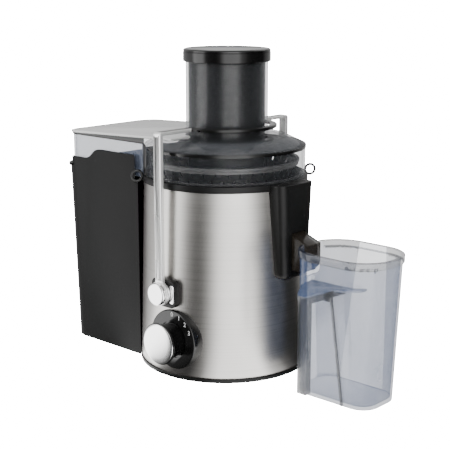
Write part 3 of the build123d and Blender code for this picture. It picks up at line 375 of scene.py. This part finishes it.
def add_lights(context, view):
    """The room itself and three square soft lights that look at the juicer."""
    context.scene.world = make_studio(view)
    for name, place, width, share in LAMPS:
        lamp = bpy.data.lights.new(name, "AREA")
        lamp.shape = "SQUARE"
        lamp.size = width
        lamp.energy = view.key_power * share
        lamp_object = bpy.data.objects.new(name, lamp)
        context.scene.collection.objects.link(lamp_object)
        lamp_object.location = place
        lamp_object.rotation_euler = (LAMP_AIM - Vector(place)).to_track_quat("-Z", "Y").to_euler()


# ------------------------------------------------------------------ shared node groups
def node_of(tree, kind, x, y, **values):
    """Adds a node at a place in the editor and sets its own options."""
    made = tree.nodes.new(kind)
    made.location = (x, y)
    for key, value in values.items():
        setattr(made, key, value)
    return made


def group_with(name, inputs, outputs):
    """A shader node group with named number inputs and its own input and output nodes."""
    tree = bpy.data.node_groups.new(name, "ShaderNodeTree")
    for label, kind, value in inputs:
        made = tree.interface.new_socket(name=label, in_out="INPUT", socket_type=kind)
        made.default_value = value
    for label, kind in outputs:
        tree.interface.new_socket(name=label, in_out="OUTPUT", socket_type=kind)
    return tree, node_of(tree, "NodeGroupInput", -900, 0), node_of(tree, "NodeGroupOutput", 700, 0)


def make_brush_group():
    """Fine parallel brushing: long scratches across the Stretch axis."""
    inputs = (("Stretch", "NodeSocketVector", (3.0, 3.0, 900.0)),)
    outputs = (("Height", "NodeSocketFloat"),)
    tree, source, result = group_with("brushed_grain", inputs, outputs)
    place = node_of(tree, "ShaderNodeTexCoord", -900, 300)
    stretched = node_of(tree, "ShaderNodeVectorMath", -650, 200, operation="MULTIPLY")
    fine = node_of(tree, "ShaderNodeTexNoise", -400, 300)
    fine.inputs["Scale"].default_value = 1.0
    fine.inputs["Detail"].default_value = 3.0
    coarse = node_of(tree, "ShaderNodeTexNoise", -400, 0)
    coarse.inputs["Scale"].default_value = 0.55
    coarse.inputs["Detail"].default_value = 2.0
    mixed = node_of(tree, "ShaderNodeMath", -100, 200, operation="ADD")
    link = tree.links.new
    link(place.outputs["Object"], stretched.inputs[0])
    link(source.outputs["Stretch"], stretched.inputs[1])
    link(stretched.outputs[0], fine.inputs["Vector"])
    link(stretched.outputs[0], coarse.inputs["Vector"])
    link(fine.outputs[0], mixed.inputs[0])
    link(coarse.outputs[0], mixed.inputs[1])
    link(mixed.outputs[0], result.inputs["Height"])
    return tree


def make_mould_group():
    """Moulded plastic: a fine speckle for the bump and a slow cloud for handling marks."""
    inputs = (("Speckle Scale", "NodeSocketFloat", 1800.0), ("Cloud Scale", "NodeSocketFloat", 14.0))
    outputs = (("Speckle", "NodeSocketFloat"), ("Cloud", "NodeSocketFloat"))
    tree, source, result = group_with("moulded_surface", inputs, outputs)
    place = node_of(tree, "ShaderNodeTexCoord", -900, 300)
    speckle = node_of(tree, "ShaderNodeTexNoise", -400, 300)
    speckle.inputs["Detail"].default_value = 2.0
    cloud = node_of(tree, "ShaderNodeTexNoise", -400, 0)
    cloud.inputs["Detail"].default_value = 4.0
    link = tree.links.new
    for texture, label in ((speckle, "Speckle"), (cloud, "Cloud")):
        link(place.outputs["Object"], texture.inputs["Vector"])
        link(source.outputs[label + " Scale"], texture.inputs["Scale"])
        link(texture.outputs[0], result.inputs[label])
    return tree


# ------------------------------------------------------------------ materials
NOISE_SPAN = (0.3, 0.7)      # where nearly all of the noise's values lie
GRAIN_SPAN = (0.7, 1.3)      # the same for the brushing
SPECKLE_DEPTH = 0.00005
GRAIN_DEPTH = 0.00008
RIPPLE = (0.04, 0.0006)      # strength and depth of the waves in clear mouldings
CLEAR_CLOUD = 9.0
MARKS_CLOUD = 30.0
MARKS_TONE = 0.94            # how much darker the handling marks on bright metal are
COAT_ROUGHNESS = 0.06
SLANT_BLEND = 0.25
SLANT_POWER = 2.0


def new_material(name):
    """An empty material with its shader nodes."""
    made = bpy.data.materials.new(name)
    made.use_nodes = True
    return made


def shader_of(made):
    """The material's own shader node."""
    return made.node_tree.nodes["Principled BSDF"]


def set_plain(made, **values):
    """Sets uniform values straight on the shader's own sockets."""
    shader = shader_of(made)
    for key, value in values.items():
        socket = key.replace("_", " ")
        shader.inputs[socket].default_value = (*value, 1.0) if isinstance(value, tuple) else value
    return made


def place_group(made, tree, **values):
    """Puts a shared node group into a material, with the material's own values."""
    group = node_of(made.node_tree, "ShaderNodeGroup", -700, 0, node_tree=tree)
    for key, value in values.items():
        group.inputs[key.replace("_", " ")].default_value = value
    return group


def spread(made, source, low, high, span=NOISE_SPAN, y=200):
    """Spreads a varying value from low to high; returns the socket that gives it."""
    ranged = node_of(made.node_tree, "ShaderNodeMapRange", -350, y)
    ranged.inputs["From Min"].default_value, ranged.inputs["From Max"].default_value = span
    ranged.inputs["To Min"].default_value = low
    ranged.inputs["To Max"].default_value = high
    made.node_tree.links.new(source, ranged.inputs["Value"])
    return ranged.outputs[0]


def roughen(made, source, rough, span=NOISE_SPAN):
    """Lets the roughness vary with the source."""
    made.node_tree.links.new(spread(made, source, *rough, span), shader_of(made).inputs["Roughness"])


def tint(made, source, dark, light, span=NOISE_SPAN):
    """Feeds the base colour with a mix of two colours."""
    tree = made.node_tree
    ramp = node_of(tree, "ShaderNodeValToRGB", -350, 400)
    for stop, position, colour in zip(ramp.color_ramp.elements, span, (dark, light)):
        stop.position = position
        stop.color = (*colour, 1)
    tree.links.new(source, ramp.inputs[0])
    tree.links.new(ramp.outputs[0], shader_of(made).inputs["Base Color"])


def bump(made, source, strength, distance):
    """Lets the surface stand up a little where the source is high."""
    tree = made.node_tree
    relief = node_of(tree, "ShaderNodeBump", -350, -300)
    relief.inputs["Strength"].default_value = strength
    relief.inputs["Distance"].default_value = distance
    tree.links.new(source, relief.inputs["Height"])
    tree.links.new(relief.outputs[0], shader_of(made).inputs["Normal"])


def moulded(name, dark, light, rough, speckle=0.15, coat=0.0, scale=1800.0, shine=0.5, metal=0.0):
    """Opaque moulded plastic."""
    made = new_material(name)
    surface = place_group(made, GROUPS["mould"], Speckle_Scale=scale)
    tint(made, surface.outputs["Cloud"], dark, light)
    roughen(made, surface.outputs["Cloud"], rough)
    bump(made, surface.outputs["Speckle"], speckle, SPECKLE_DEPTH)
    set_plain(made, Coat_Weight=coat, Coat_Roughness=COAT_ROUGHNESS)
    return set_plain(made, IOR=1.5, Specular_IOR_Level=shine, Metallic=metal)


def brushed(name, dark, light, rough, stretch, relief):
    """Metal with fine parallel scratches."""
    made = new_material(name)
    grain = place_group(made, GROUPS["brush"], Stretch=stretch)
    tint(made, grain.outputs["Height"], dark, light, (GRAIN_SPAN[0], 1.0))
    roughen(made, grain.outputs["Height"], rough, GRAIN_SPAN)
    bump(made, grain.outputs["Height"], relief, GRAIN_DEPTH)
    return set_plain(made, Metallic=1.0)


def polished(name, colour, rough):
    """Bright metal with faint handling marks."""
    made = new_material(name)
    surface = place_group(made, GROUPS["mould"], Cloud_Scale=MARKS_CLOUD)
    tint(made, surface.outputs["Cloud"], tuple(tone * MARKS_TONE for tone in colour), colour)
    roughen(made, surface.outputs["Cloud"], rough)
    return set_plain(made, Metallic=1.0)


def clear(name, dark, light, rough, cover, edge_cover, ior, shine, back):
    """Thin clear moulding: it covers a little of what is behind it, more where it is cloudy or seen on the slant."""
    made = new_material(name)
    surface = place_group(made, GROUPS["mould"], Cloud_Scale=CLEAR_CLOUD)
    tint(made, surface.outputs["Cloud"], dark, light)
    roughen(made, surface.outputs["Cloud"], rough)
    tree = made.node_tree
    cloudy = spread(made, surface.outputs["Cloud"], *cover, y=-150)
    slant = node_of(tree, "ShaderNodeLayerWeight", -900, -300)
    slant.inputs["Blend"].default_value = SLANT_BLEND
    edge = node_of(tree, "ShaderNodeMath", -700, -300, operation="POWER")
    edge.inputs[1].default_value = SLANT_POWER
    share = node_of(tree, "ShaderNodeMath", -500, -400, operation="MULTIPLY")
    share.inputs[1].default_value = edge_cover
    whole = node_of(tree, "ShaderNodeMath", -250, -150, operation="ADD", use_clamp=True)
    side = node_of(tree, "ShaderNodeNewGeometry", -900, -600)
    kept = node_of(tree, "ShaderNodeMath", -500, -600, operation="MULTIPLY_ADD")
    kept.inputs[1].default_value = back - 1.0
    kept.inputs[2].default_value = 1.0
    seen = node_of(tree, "ShaderNodeMath", -120, -300, operation="MULTIPLY")
    link = tree.links.new
    link(slant.outputs["Facing"], edge.inputs[0])
    link(edge.outputs[0], share.inputs[0])
    link(cloudy, whole.inputs[0])
    link(share.outputs[0], whole.inputs[1])
    link(side.outputs["Backfacing"], kept.inputs[0])
    link(whole.outputs[0], seen.inputs[0])
    link(kept.outputs[0], seen.inputs[1])
    link(seen.outputs[0], shader_of(made).inputs["Alpha"])
    bump(made, surface.outputs["Cloud"], *RIPPLE)
    return set_plain(made, IOR=ior, Specular_IOR_Level=shine)


def make_materials(colours):
    """One finished material for each of the record's slots, and a few more for parts of a piece."""
    GROUPS["brush"] = make_brush_group()
    GROUPS["mould"] = make_mould_group()
    made = {name: polished(name, *values) for name, values in POLISHED.items()}
    for table, maker in ((MOULDED, moulded), (BRUSHED, brushed), (CLEAR, clear)):
        for name, (dark, light, *values) in table.items():
            chosen = tuple(getattr(colours, name, light))
            others = values.pop() if table is MOULDED else {}
            made[name] = maker(name, dark, chosen, *values, **others)
    return made


class JUICER_OT_finishes(bpy.types.Operator):
    """Makes the finishes and puts them on the frame's own pieces"""

    bl_idname = "juicer.finishes"
    bl_label = "Finishes"

    def execute(self, context):
        MATERIALS.update(make_materials(context.scene.juicer_colours))
        for node, slot in SLOT_OF.items():
            for place in NODES[node].material_slots:
                place.material = MATERIALS[slot]
        return {"FINISHED"}


# ------------------------------------------------------------------ hand tools
UPRIGHT_SLOPE = 0.3          # a face that leans less than this counts as upright
INWARD_SHARE = 0.35          # and one that looks more than this towards the middle as inner
MERGE_REACH = 0.000002       # points of a frame's shape that are this close become one
RING_REACH = 0.000001        # the same for rings that are drawn here
FLAT_ANGLE = 0.4             # faces that differ less than this many degrees become one
EDGE_ANGLE = 35.0            # edges that are sharper than this many degrees are rounded
SLEEVE_ANGLE = 40.0          # and the limits of smooth shading on the pieces that are drawn here
TURNED_ANGLE = 30.0
# How wide the rounded edges of each node's finished piece are, in metres, and in how many steps they turn.
EDGES = {
    "base_cover": (0.0008, 2), "rubber_feet": (0.0006, 2), "cord_inlet": (0.0005, 2),
    "pulp_container": (0.0008, 3), "pulp_feet": (0.0005, 2), "pulp_hood": (0.0006, 2),
    "hood_top": (0.0009, 3), "hood_rim": (0.0004, 2),
    "lid": (0.0006, 2), "lid_band": (0.0005, 2), "pusher_body": (0.0008, 2),
    "filter_bowl": (0.0006, 2), "bowl_ears": (0.0006, 2),
    "spout_housing": (0.0012, 3), "spout_nozzle": (0.0008, 3), "jug": (0.0009, 3), "jug_handle": (0.0007, 3),
    "locking_arm": (0.0009, 3), "pivot_plates": (0.0009, 3), "pivot_tiles": (0.0003, 2), "pivot_caps": (0.0014, 3),
    "knob_bezel": (0.0009, 3), "basket_rim": (0.0006, 2), "basket_base": (0.0003, 2), "grater_disc": (0.0, 2),
}


def only(made):
    """Selects one object alone and makes it active."""
    if bpy.context.object and bpy.context.object.mode != "OBJECT":
        bpy.ops.object.mode_set(mode="OBJECT")
    bpy.ops.object.select_all(action="DESELECT")
    made.select_set(True)
    bpy.context.view_layer.objects.active = made


def round_edges(made, width, segments):
    """Rounds the sharp edges."""
    only(made)
    soft = made.modifiers.new("round", "BEVEL")
    soft.width = width
    soft.segments = segments
    soft.limit_method = "ANGLE"
    soft.angle_limit = math.radians(EDGE_ANGLE)
    soft.harden_normals = False
    bpy.ops.object.modifier_apply(modifier=soft.name)


def smooth(made, angle):
    """Shades smoothly across edges that are softer than the angle."""
    only(made)
    bpy.ops.object.shade_smooth_by_angle(angle=math.radians(angle))


def choose_items(made, kind, test):
    """Selects in edit mode the vertices or faces that the test accepts."""
    bpy.ops.mesh.select_mode(type=kind)
    bpy.ops.mesh.select_all(action="DESELECT")
    mesh = bmesh.from_edit_mesh(made.data)
    for item in mesh.verts if kind == "VERT" else mesh.faces:
        if test(item):
            item.select_set(True)
    mesh.select_flush_mode()
    bmesh.update_edit_mesh(made.data)


def choose_points(made, test):
    """Selects in edit mode the vertices whose place the test accepts."""
    choose_items(made, "VERT", lambda item: test(item.co))


def choose_faces(made, test):
    """Selects in edit mode the faces whose middle, measured from the motor axis, the test accepts."""
    choose_items(made, "FACE", lambda item: test(item.calc_center_median() - MOTOR_AXIS))


def paint_chosen(made, finish, mark):
    """Gives another finish to the faces that the call to mark selects."""
    made.data.materials.append(MATERIALS[finish])
    only(made)
    bpy.ops.object.mode_set(mode="EDIT")
    mark()
    made.active_material_index = len(made.data.materials) - 1
    bpy.ops.object.material_slot_assign()
    bpy.ops.object.mode_set(mode="OBJECT")


def paint(made, finish, test):
    """Gives another finish to the faces whose middle, measured from the motor axis, the test accepts."""
    paint_chosen(made, finish, lambda: choose_faces(made, test))


def paint_inside(made, node, finish):
    """Gives another finish to the tall upright faces that look towards the piece's own middle line."""
    low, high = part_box(node)
    middle = (low + high) / 2

    def looks_inward(face):
        inward = (middle - face.calc_center_median()).xy.normalized()
        heights = [vert.co.z for vert in face.verts]
        tall = max(heights) - min(heights) > (high.z - low.z) / 2
        return tall and abs(face.normal.z) < UPRIGHT_SLOPE and face.normal.xy.dot(inward) > INWARD_SHARE

    paint_chosen(made, finish, lambda: choose_items(made, "FACE", looks_inward))


def turned(rings, steps=128, hollow=False):
    """Draws a ring about the world's Z and extrudes it along (radius, height) pairs, in millimetres."""
    bpy.ops.object.select_all(action="DESELECT")
    bpy.ops.mesh.primitive_circle_add(vertices=steps, radius=rings[0][0] * MM, location=(0, 0, rings[0][1] * MM))
    made = bpy.context.object
    bpy.ops.object.mode_set(mode="EDIT")
    bpy.ops.mesh.select_mode(type="VERT")
    bpy.ops.mesh.select_all(action="SELECT")
    for (r0, z0), (r1, z1) in zip(rings, rings[1:]):
        bpy.ops.mesh.extrude_region_move(TRANSFORM_OT_translate={"value": (0, 0, (z1 - z0) * MM)})
        bpy.ops.transform.resize(value=(r1 / r0, r1 / r0, 1))
    if not hollow:
        bpy.ops.mesh.edge_face_add()
        first = rings[0][0] * MM
        choose_points(made, lambda at: abs(at.z) < RING_REACH / 10 and abs(at.xy.length - first) < RING_REACH)
        bpy.ops.mesh.edge_face_add()
    bpy.ops.mesh.select_all(action="SELECT")
    bpy.ops.mesh.remove_doubles(threshold=RING_REACH)
    bpy.ops.mesh.normals_make_consistent(inside=False)
    bpy.ops.object.mode_set(mode="OBJECT")
    return made


def settle(made, name, body, slot, *nodes, finish=None):
    """Names a finished piece, gives it its finish and lets it ride on its body."""
    made.name = name
    made.data.name = name
    made.data.materials.clear()
    made.data.materials.append(MATERIALS[finish or slot])
    only(made)
    bpy.ops.object.transform_apply(location=True, rotation=True, scale=True)
    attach(made, body)
    if nodes:
        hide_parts(*nodes)
    return made


def dress(node, finish=None):
    """A copy of a node's shape with its faces merged, its edges rounded and its curves smooth."""
    made = bpy.data.objects.new(node + "_dressed", NODES[node].data.copy())
    bpy.context.scene.collection.objects.link(made)
    only(made)
    bpy.ops.object.mode_set(mode="EDIT")
    bpy.ops.mesh.select_all(action="SELECT")
    bpy.ops.mesh.remove_doubles(threshold=MERGE_REACH)
    bpy.ops.mesh.dissolve_limited(angle_limit=math.radians(FLAT_ANGLE))
    bpy.ops.object.mode_set(mode="OBJECT")
    width, segments = EDGES[node]
    if width:
        round_edges(made, width, segments)
    smooth(made, EDGE_ANGLE)
    return settle(made, node + "_dressed", BODY_OF[node], SLOT_OF[node], node, finish=finish)


def profile(wide, start, from_start, end, from_end):
    """Rings for turned, from how far inside the widest radius each one is and how far from the start or the end."""
    rings = [(wide - inset, start + step) for inset, step in from_start]
    return rings + [(wide - inset, end + step) for inset, step in from_end]


# ------------------------------------------------------------------ steel body
ROLL_EASE = 0.3              # the share of a rolled edge's radius at which its curve is drawn
SLEEVE_SHARES = (0.25, 0.5, 0.75)
SLEEVE_STEPS = 192


def add_sleeve(sizes):
    """The steel tube: a little wider at the foot, with its upper and lower edges rolled in."""
    low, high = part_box("steel_sleeve")
    bottom, top = low.z / MM, high.z / MM
    foot = (high.x - low.x) / 2 / MM
    head = sizes.sleeve_top_radius / MM
    roll, wall = sizes.sleeve_roll / MM, sizes.sleeve_wall / MM
    ease = roll * ROLL_EASE
    rings = [(foot - wall, bottom + roll), (foot - roll, bottom), (foot - ease, bottom + ease), (foot, bottom + roll)]
    rings += [(foot + (head - foot) * share, bottom + (top - bottom) * share) for share in SLEEVE_SHARES]
    rings += [(head, top - roll), (head - ease, top - ease), (head - roll, top), (head - wall, top - roll)]
    rings.append(rings[0])
    made = turned(rings, SLEEVE_STEPS, hollow=True)
    made.location += MOTOR_AXIS
    smooth(made, SLEEVE_ANGLE)
    settle(made, "sleeve", "base", "steel_brushed", "steel_sleeve")


class JUICER_OT_body(bpy.types.Operator):
    """Steel sleeve, base and feet with their rolled and rounded edges"""

    bl_idname = "juicer.body"
    bl_label = "Body"

    def execute(self, context):
        add_sleeve(context.scene.juicer_sizes)
        dress("base_cover")
        dress("rubber_feet")
        dress("cord_inlet")
        return {"FINISHED"}


class JUICER_OT_pulp(bpy.types.Operator):
    """Pulp container, its hood, the hood's top plate and dark rim"""

    bl_idname = "juicer.pulp"
    bl_label = "Pulp container and hood"

    def execute(self, context):
        dress("pulp_container")
        dress("pulp_feet")
        dress("pulp_hood", finish="hood_clear")
        dress("hood_top")
        dress("hood_rim")
        return {"FINISHED"}


# ------------------------------------------------------------------ lid and pusher
# The cap's rings: how far inside its radius and how far above its foot or its top each one is, in millimetres.
CAP_FOOT = ((4.2, 0.0), (0.8, 0.0), (0.2, 0.4), (0.0, 1.0))
CAP_TOP = (
    (0.0, -3.4), (0.5, -3.1), (0.5, -2.6), (0.1, -2.3), (0.3, -1.2), (1.0, -0.4),
    (2.2, 0.0), (4.0, -0.1), (6.0, -0.7), (20.0, -1.2),
)
CAP_MIDDLE = (2.0, -1.3)     # radius of the innermost ring, and how far above the top it is
LID_TOP = (-0.0005, 0.012)   # heights above the lid's band between which the lid's top lies, in metres


def add_pusher_cap():
    """The pusher's cap: a shallow dished top, a soft upper edge and a fine step above its skirt."""
    low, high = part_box("pusher_cap")
    bottom, top = low.z / MM, high.z / MM
    rings = profile((high.x - low.x) / 2 / MM, bottom, CAP_FOOT, top, CAP_TOP)
    rings.append((CAP_MIDDLE[0], top + CAP_MIDDLE[1]))
    made = turned(rings)
    made.location.x += (low.x + high.x) / 2
    made.location.y += (low.y + high.y) / 2
    smooth(made, TURNED_ANGLE)
    settle(made, "cap", "pusher", "black_gloss", "pusher_cap")


class JUICER_OT_lid(bpy.types.Operator):
    """Lid with its chute, the band round its skirt, the pusher and the filter bowl"""

    bl_idname = "juicer.lid"
    bl_label = "Lid, chute and bowl"

    def execute(self, context):
        lid = dress("lid")
        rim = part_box("lid_band")[1].z
        chute = context.scene.juicer_sizes.chute_foot_radius
        # the lid's top outside the chute gets painted light
        paint(lid, "lid_top_clear", lambda at: LID_TOP[0] < at.z - rim < LID_TOP[1] and chute < at.xy.length)
        dress("lid_band")
        dress("pusher_body", finish="pusher_black")
        add_pusher_cap()
        dress("filter_bowl")
        dress("bowl_ears", finish="black_gloss")
        return {"FINISHED"}


# ------------------------------------------------------------------ spout
NOZZLE_END = 0.3             # the share of the nozzle's length that counts as its open end
NOZZLE_TOP = 0.012           # and the height of its upper part, in metres


def trim_nozzle(nozzle, sizes):
    """The nozzle's top slopes down from the spout to its open end."""
    low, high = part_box("spout_nozzle")
    end = high.x - (high.x - low.x) * NOZZLE_END
    only(nozzle)
    bpy.ops.object.mode_set(mode="EDIT")
    choose_points(nozzle, lambda at: at.x > end and at.z > high.z - NOZZLE_TOP)
    bpy.ops.transform.translate(value=(0, 0, -sizes.nozzle_drop))
    choose_points(nozzle, lambda at: at.x > end)
    bpy.ops.transform.translate(value=(-sizes.nozzle_pull, 0, 0))
    bpy.ops.object.mode_set(mode="OBJECT")


class JUICER_OT_spout(bpy.types.Operator):
    """Juice spout and its nozzle"""

    bl_idname = "juicer.spout"
    bl_label = "Spout"

    def execute(self, context):
        dress("spout_housing")
        nozzle = dress("spout_nozzle", finish="smoky_nozzle")
        trim_nozzle(nozzle, context.scene.juicer_sizes)
        return {"FINISHED"}


# ------------------------------------------------------------------ jug
# In metres, apart from the share.
BAND_MARGIN = 0.0003         # how far below the rim band its finish starts
RIM_SHADE_LINE = 0.0012            # how far from the band's edges its lines of painted shade reach
RIM_SHADE_LINE_SIDE = 0.5          # the share of the jug's half width beyond which the lower line of painted shade is drawn
FLOOR_SHADE_LINE = (0.00002, 0.0015)   # between these heights above the floor its inner edge gets painted shade
HANDLE_TOP = 0.0024          # the thickness of the handle's clear top


def tint_jug(jug, handle, sizes):
    """The rim band and the handle below its top look darker; the rim band's edges and the floor's inner edge get
    painted shade, and the walls painted light inside.
    """
    low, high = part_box("jug")
    half = (high.y - low.y) / 2 - sizes.jug_rim_proud
    rim_foot = high.z - sizes.jug_rim_height
    web_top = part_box("jug_handle")[1].z - HANDLE_TOP

    def on_rim_line(at):
        beside = abs(at.z - rim_foot) < RIM_SHADE_LINE and abs(at.y) > half * RIM_SHADE_LINE_SIDE
        return at.z > high.z - RIM_SHADE_LINE or beside

    paint(jug, "jug_band", lambda at: at.z > rim_foot - BAND_MARGIN)
    # painted shade lines along the rim band's edges
    paint(jug, "jug_edge", on_rim_line)
    # painted shade along the floor's inner edge
    paint(jug, "jug_line", lambda at: FLOOR_SHADE_LINE[0] < at.z - sizes.jug_floor < FLOOR_SHADE_LINE[1])
    # the inner walls get painted light
    paint_inside(jug, "jug", "jug_inside")
    paint(handle, "handle_smoke", lambda at: at.z < web_top)


class JUICER_OT_jug(bpy.types.Operator):
    """Juice jug and its handle"""

    bl_idname = "juicer.jug"
    bl_label = "Jug"

    def execute(self, context):
        jug = dress("jug")
        handle = dress("jug_handle")
        tint_jug(jug, handle, context.scene.juicer_sizes)
        return {"FINISHED"}


# ------------------------------------------------------------------ locking arm
SIDE_REACH = 0.0001          # faces this close to the arm's widest lie on its sides, in metres
SHADE_STRIP_SHARE = 0.9            # how far in the strips of painted shade start, as a share of the channel's depth
SHADE_STRIP_REACH = 0.0004         # and how far in they reach from there, in metres


def sink_leg_faces(arm, sizes):
    """Presses a shallow channel into the outer face of each leg and paints shade, a darker silver, on the strips
    along its rounded edges inside the recess.
    """
    low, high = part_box("locking_arm")
    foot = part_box("pivot_caps")[1].z + sizes.channel_margin
    head = high.z - sizes.channel_margin
    only(arm)
    bpy.ops.object.mode_set(mode="EDIT")
    bpy.ops.mesh.select_mode(type="FACE")
    for height in (foot, head):
        bpy.ops.mesh.select_all(action="SELECT")
        bpy.ops.mesh.bisect(plane_co=(0, 0, height), plane_no=(0, 0, 1))
    outer = (high.y - low.y) / 2 - SIDE_REACH
    choose_faces(arm, lambda at: abs(at.y) > outer and foot < at.z < head)
    bpy.ops.mesh.inset(thickness=sizes.channel_margin, depth=-sizes.channel_depth)
    bpy.ops.object.mode_set(mode="OBJECT")
    inner = outer - sizes.channel_depth * SHADE_STRIP_SHARE
    # the strips inside the channel get a darker silver as painted shade
    paint(arm, "arm_channel", lambda at: inner - SHADE_STRIP_REACH < abs(at.y) < inner and foot < at.z < head)


def darken_bar(arm, leg_side):
    """The stretch of the arm that runs round the chute gets black gloss as a painted dark reflection of the chute in
    its chrome, and its two legs stay silver.
    """
    # black gloss on the bar is a painted reflection of the dark chute in the chrome
    paint(arm, "black_gloss", lambda at: abs(at.y) < leg_side)


class JUICER_OT_arm(bpy.types.Operator):
    """Locking arm with its plates, tiles and caps"""

    bl_idname = "juicer.arm"
    bl_label = "Locking arm"

    def execute(self, context):
        arm = dress("locking_arm")
        sink_leg_faces(arm, context.scene.juicer_sizes)
        darken_bar(arm, context.scene.juicer_sizes.arm_leg_side)
        dress("pivot_plates")
        dress("pivot_tiles")
        dress("pivot_caps")
        return {"FINISHED"}


# ------------------------------------------------------------------ dial
# The rings of the grip and of its face: how far inside the radius and how far in front of the back or of the
# front each one is, in millimetres.
GRIP_BACK = ((5.0, 0.0), (4.4, 0.4), (4.2, 1.2), (4.0, 5.0))
GRIP_FRONT = ((2.9, -8.0), (1.4, -4.4), (0.3, -1.8), (0.0, -0.9), (0.2, -0.3), (0.8, 0.0))
FACE_BACK = ((0.2, 0.0), (0.0, 0.3), (0.1, 0.8))
FACE_FRONT = ((0.7, -0.6), (2.0, -0.25), (6.0, -0.05), (12.0, 0.0))
FACE_MIDDLE = (1.0,)         # radius of the face's innermost ring
NUMBER_ANGLES = (0.0, 22.0, 43.0, 64.0)      # from straight up to the right, in degrees


def turned_to_front(node, from_back, from_front, innermost=()):
    """A turned piece in a node's place that looks to the front."""
    low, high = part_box(node)
    back, front = (MOTOR_AXIS.y - high.y) / MM, (MOTOR_AXIS.y - low.y) / MM
    rings = profile((high.x - low.x) / 2 / MM, back, from_back, front, from_front)
    made = turned(rings + [(radius, front) for radius in innermost])
    only(made)
    bpy.ops.object.transform_apply(location=True, rotation=False, scale=False)
    made.location = ((low.x + high.x) / 2, MOTOR_AXIS.y, (low.z + high.z) / 2)
    made.rotation_euler = (math.radians(90), 0, 0)
    smooth(made, TURNED_ANGLE)
    return made


def add_knob():
    """The knob: a waisted, glossy grip that flares to its face, and a bright domed face plate."""
    grip = turned_to_front("knob", GRIP_BACK, GRIP_FRONT)
    settle(grip, "knob_grip", "knob", "black_gloss", "knob")
    face = turned_to_front("knob_cap", FACE_BACK, FACE_FRONT, FACE_MIDDLE)
    settle(face, "knob_face", "knob", "chrome", "knob_cap", finish="face_silver")


def add_dial_numbers(sizes):
    """Plain raised numbers round the upper right of the dial."""
    low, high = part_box("knob_bezel")
    middle = Vector(((low.x + high.x) / 2, low.y, (low.z + high.z) / 2))
    reach = sizes.number_ring
    for number, degrees in enumerate(NUMBER_ANGLES):
        bpy.ops.object.select_all(action="DESELECT")
        bpy.ops.object.text_add(location=(0, 0, 0))
        made = bpy.context.object
        made.data.body = str(number)
        made.data.size = sizes.number_height
        made.data.extrude = sizes.number_relief
        made.data.align_x = "CENTER"
        made.data.align_y = "CENTER"
        bpy.ops.object.convert(target="MESH")
        made = bpy.context.object
        angle = math.radians(degrees)
        aside, up = math.sin(angle) * reach, math.cos(angle) * reach
        made.location = middle + Vector((aside, -sizes.number_relief * 0.5, up))
        made.rotation_euler = (math.radians(90), 0, 0)
        settle(made, f"dial_number_{number}", "base", SLOT_OF["knob_bezel"], finish="dial_white")


class JUICER_OT_dial(bpy.types.Operator):
    """Speed knob, its cap and its bezel"""

    bl_idname = "juicer.dial"
    bl_label = "Speed knob"

    def execute(self, context):
        dress("knob_bezel")
        add_knob()
        add_dial_numbers(context.scene.juicer_sizes)
        return {"FINISHED"}


# ------------------------------------------------------------------ basket
class JUICER_OT_basket(bpy.types.Operator):
    """Filter basket, seen through the lid"""

    bl_idname = "juicer.basket"
    bl_label = "Filter basket"

    def execute(self, context):
        dress("basket_rim")
        dress("basket_base")
        dress("grater_disc")
        return {"FINISHED"}


# ------------------------------------------------------------------ panel and start
STEPS = (
    JUICER_OT_stage, JUICER_OT_finishes, JUICER_OT_body, JUICER_OT_pulp, JUICER_OT_lid,
    JUICER_OT_spout, JUICER_OT_jug, JUICER_OT_arm, JUICER_OT_dial, JUICER_OT_basket,
)


class JUICER_PT_steps(bpy.types.Panel):
    """Lists the steps in the order in which they are run"""

    bl_idname = "JUICER_PT_steps"
    bl_label = "Centrifugal juicer"
    bl_space_type = "VIEW_3D"
    bl_region_type = "UI"
    bl_category = "Juicer"

    def draw(self, context):
        for step in STEPS:
            self.layout.operator(step.bl_idname)
        scene = context.scene
        for settings in (scene.juicer_view, scene.juicer_sizes, scene.juicer_colours):
            for label in type(settings).__annotations__:
                self.layout.prop(settings, label)


classes = (JuicerView, JuicerSizes, JuicerColours, *STEPS, JUICER_PT_steps)


def register():
    """Makes the settings, the steps and the panel known to Blender."""
    for item in classes:
        bpy.utils.register_class(item)
    bpy.types.Scene.juicer_view = PointerProperty(type=JuicerView)
    bpy.types.Scene.juicer_sizes = PointerProperty(type=JuicerSizes)
    bpy.types.Scene.juicer_colours = PointerProperty(type=JuicerColours)


def unregister():
    """Takes back what register did."""
    del bpy.types.Scene.juicer_view
    del bpy.types.Scene.juicer_sizes
    del bpy.types.Scene.juicer_colours
    for item in reversed(classes):
        bpy.utils.unregister_class(item)


def main():
    """Runs every step in order."""
    register()
    for step in STEPS:
        group, name = step.bl_idname.split(".")
        getattr(getattr(bpy.ops, group), name)()


if __name__ == "__main__":
    main()
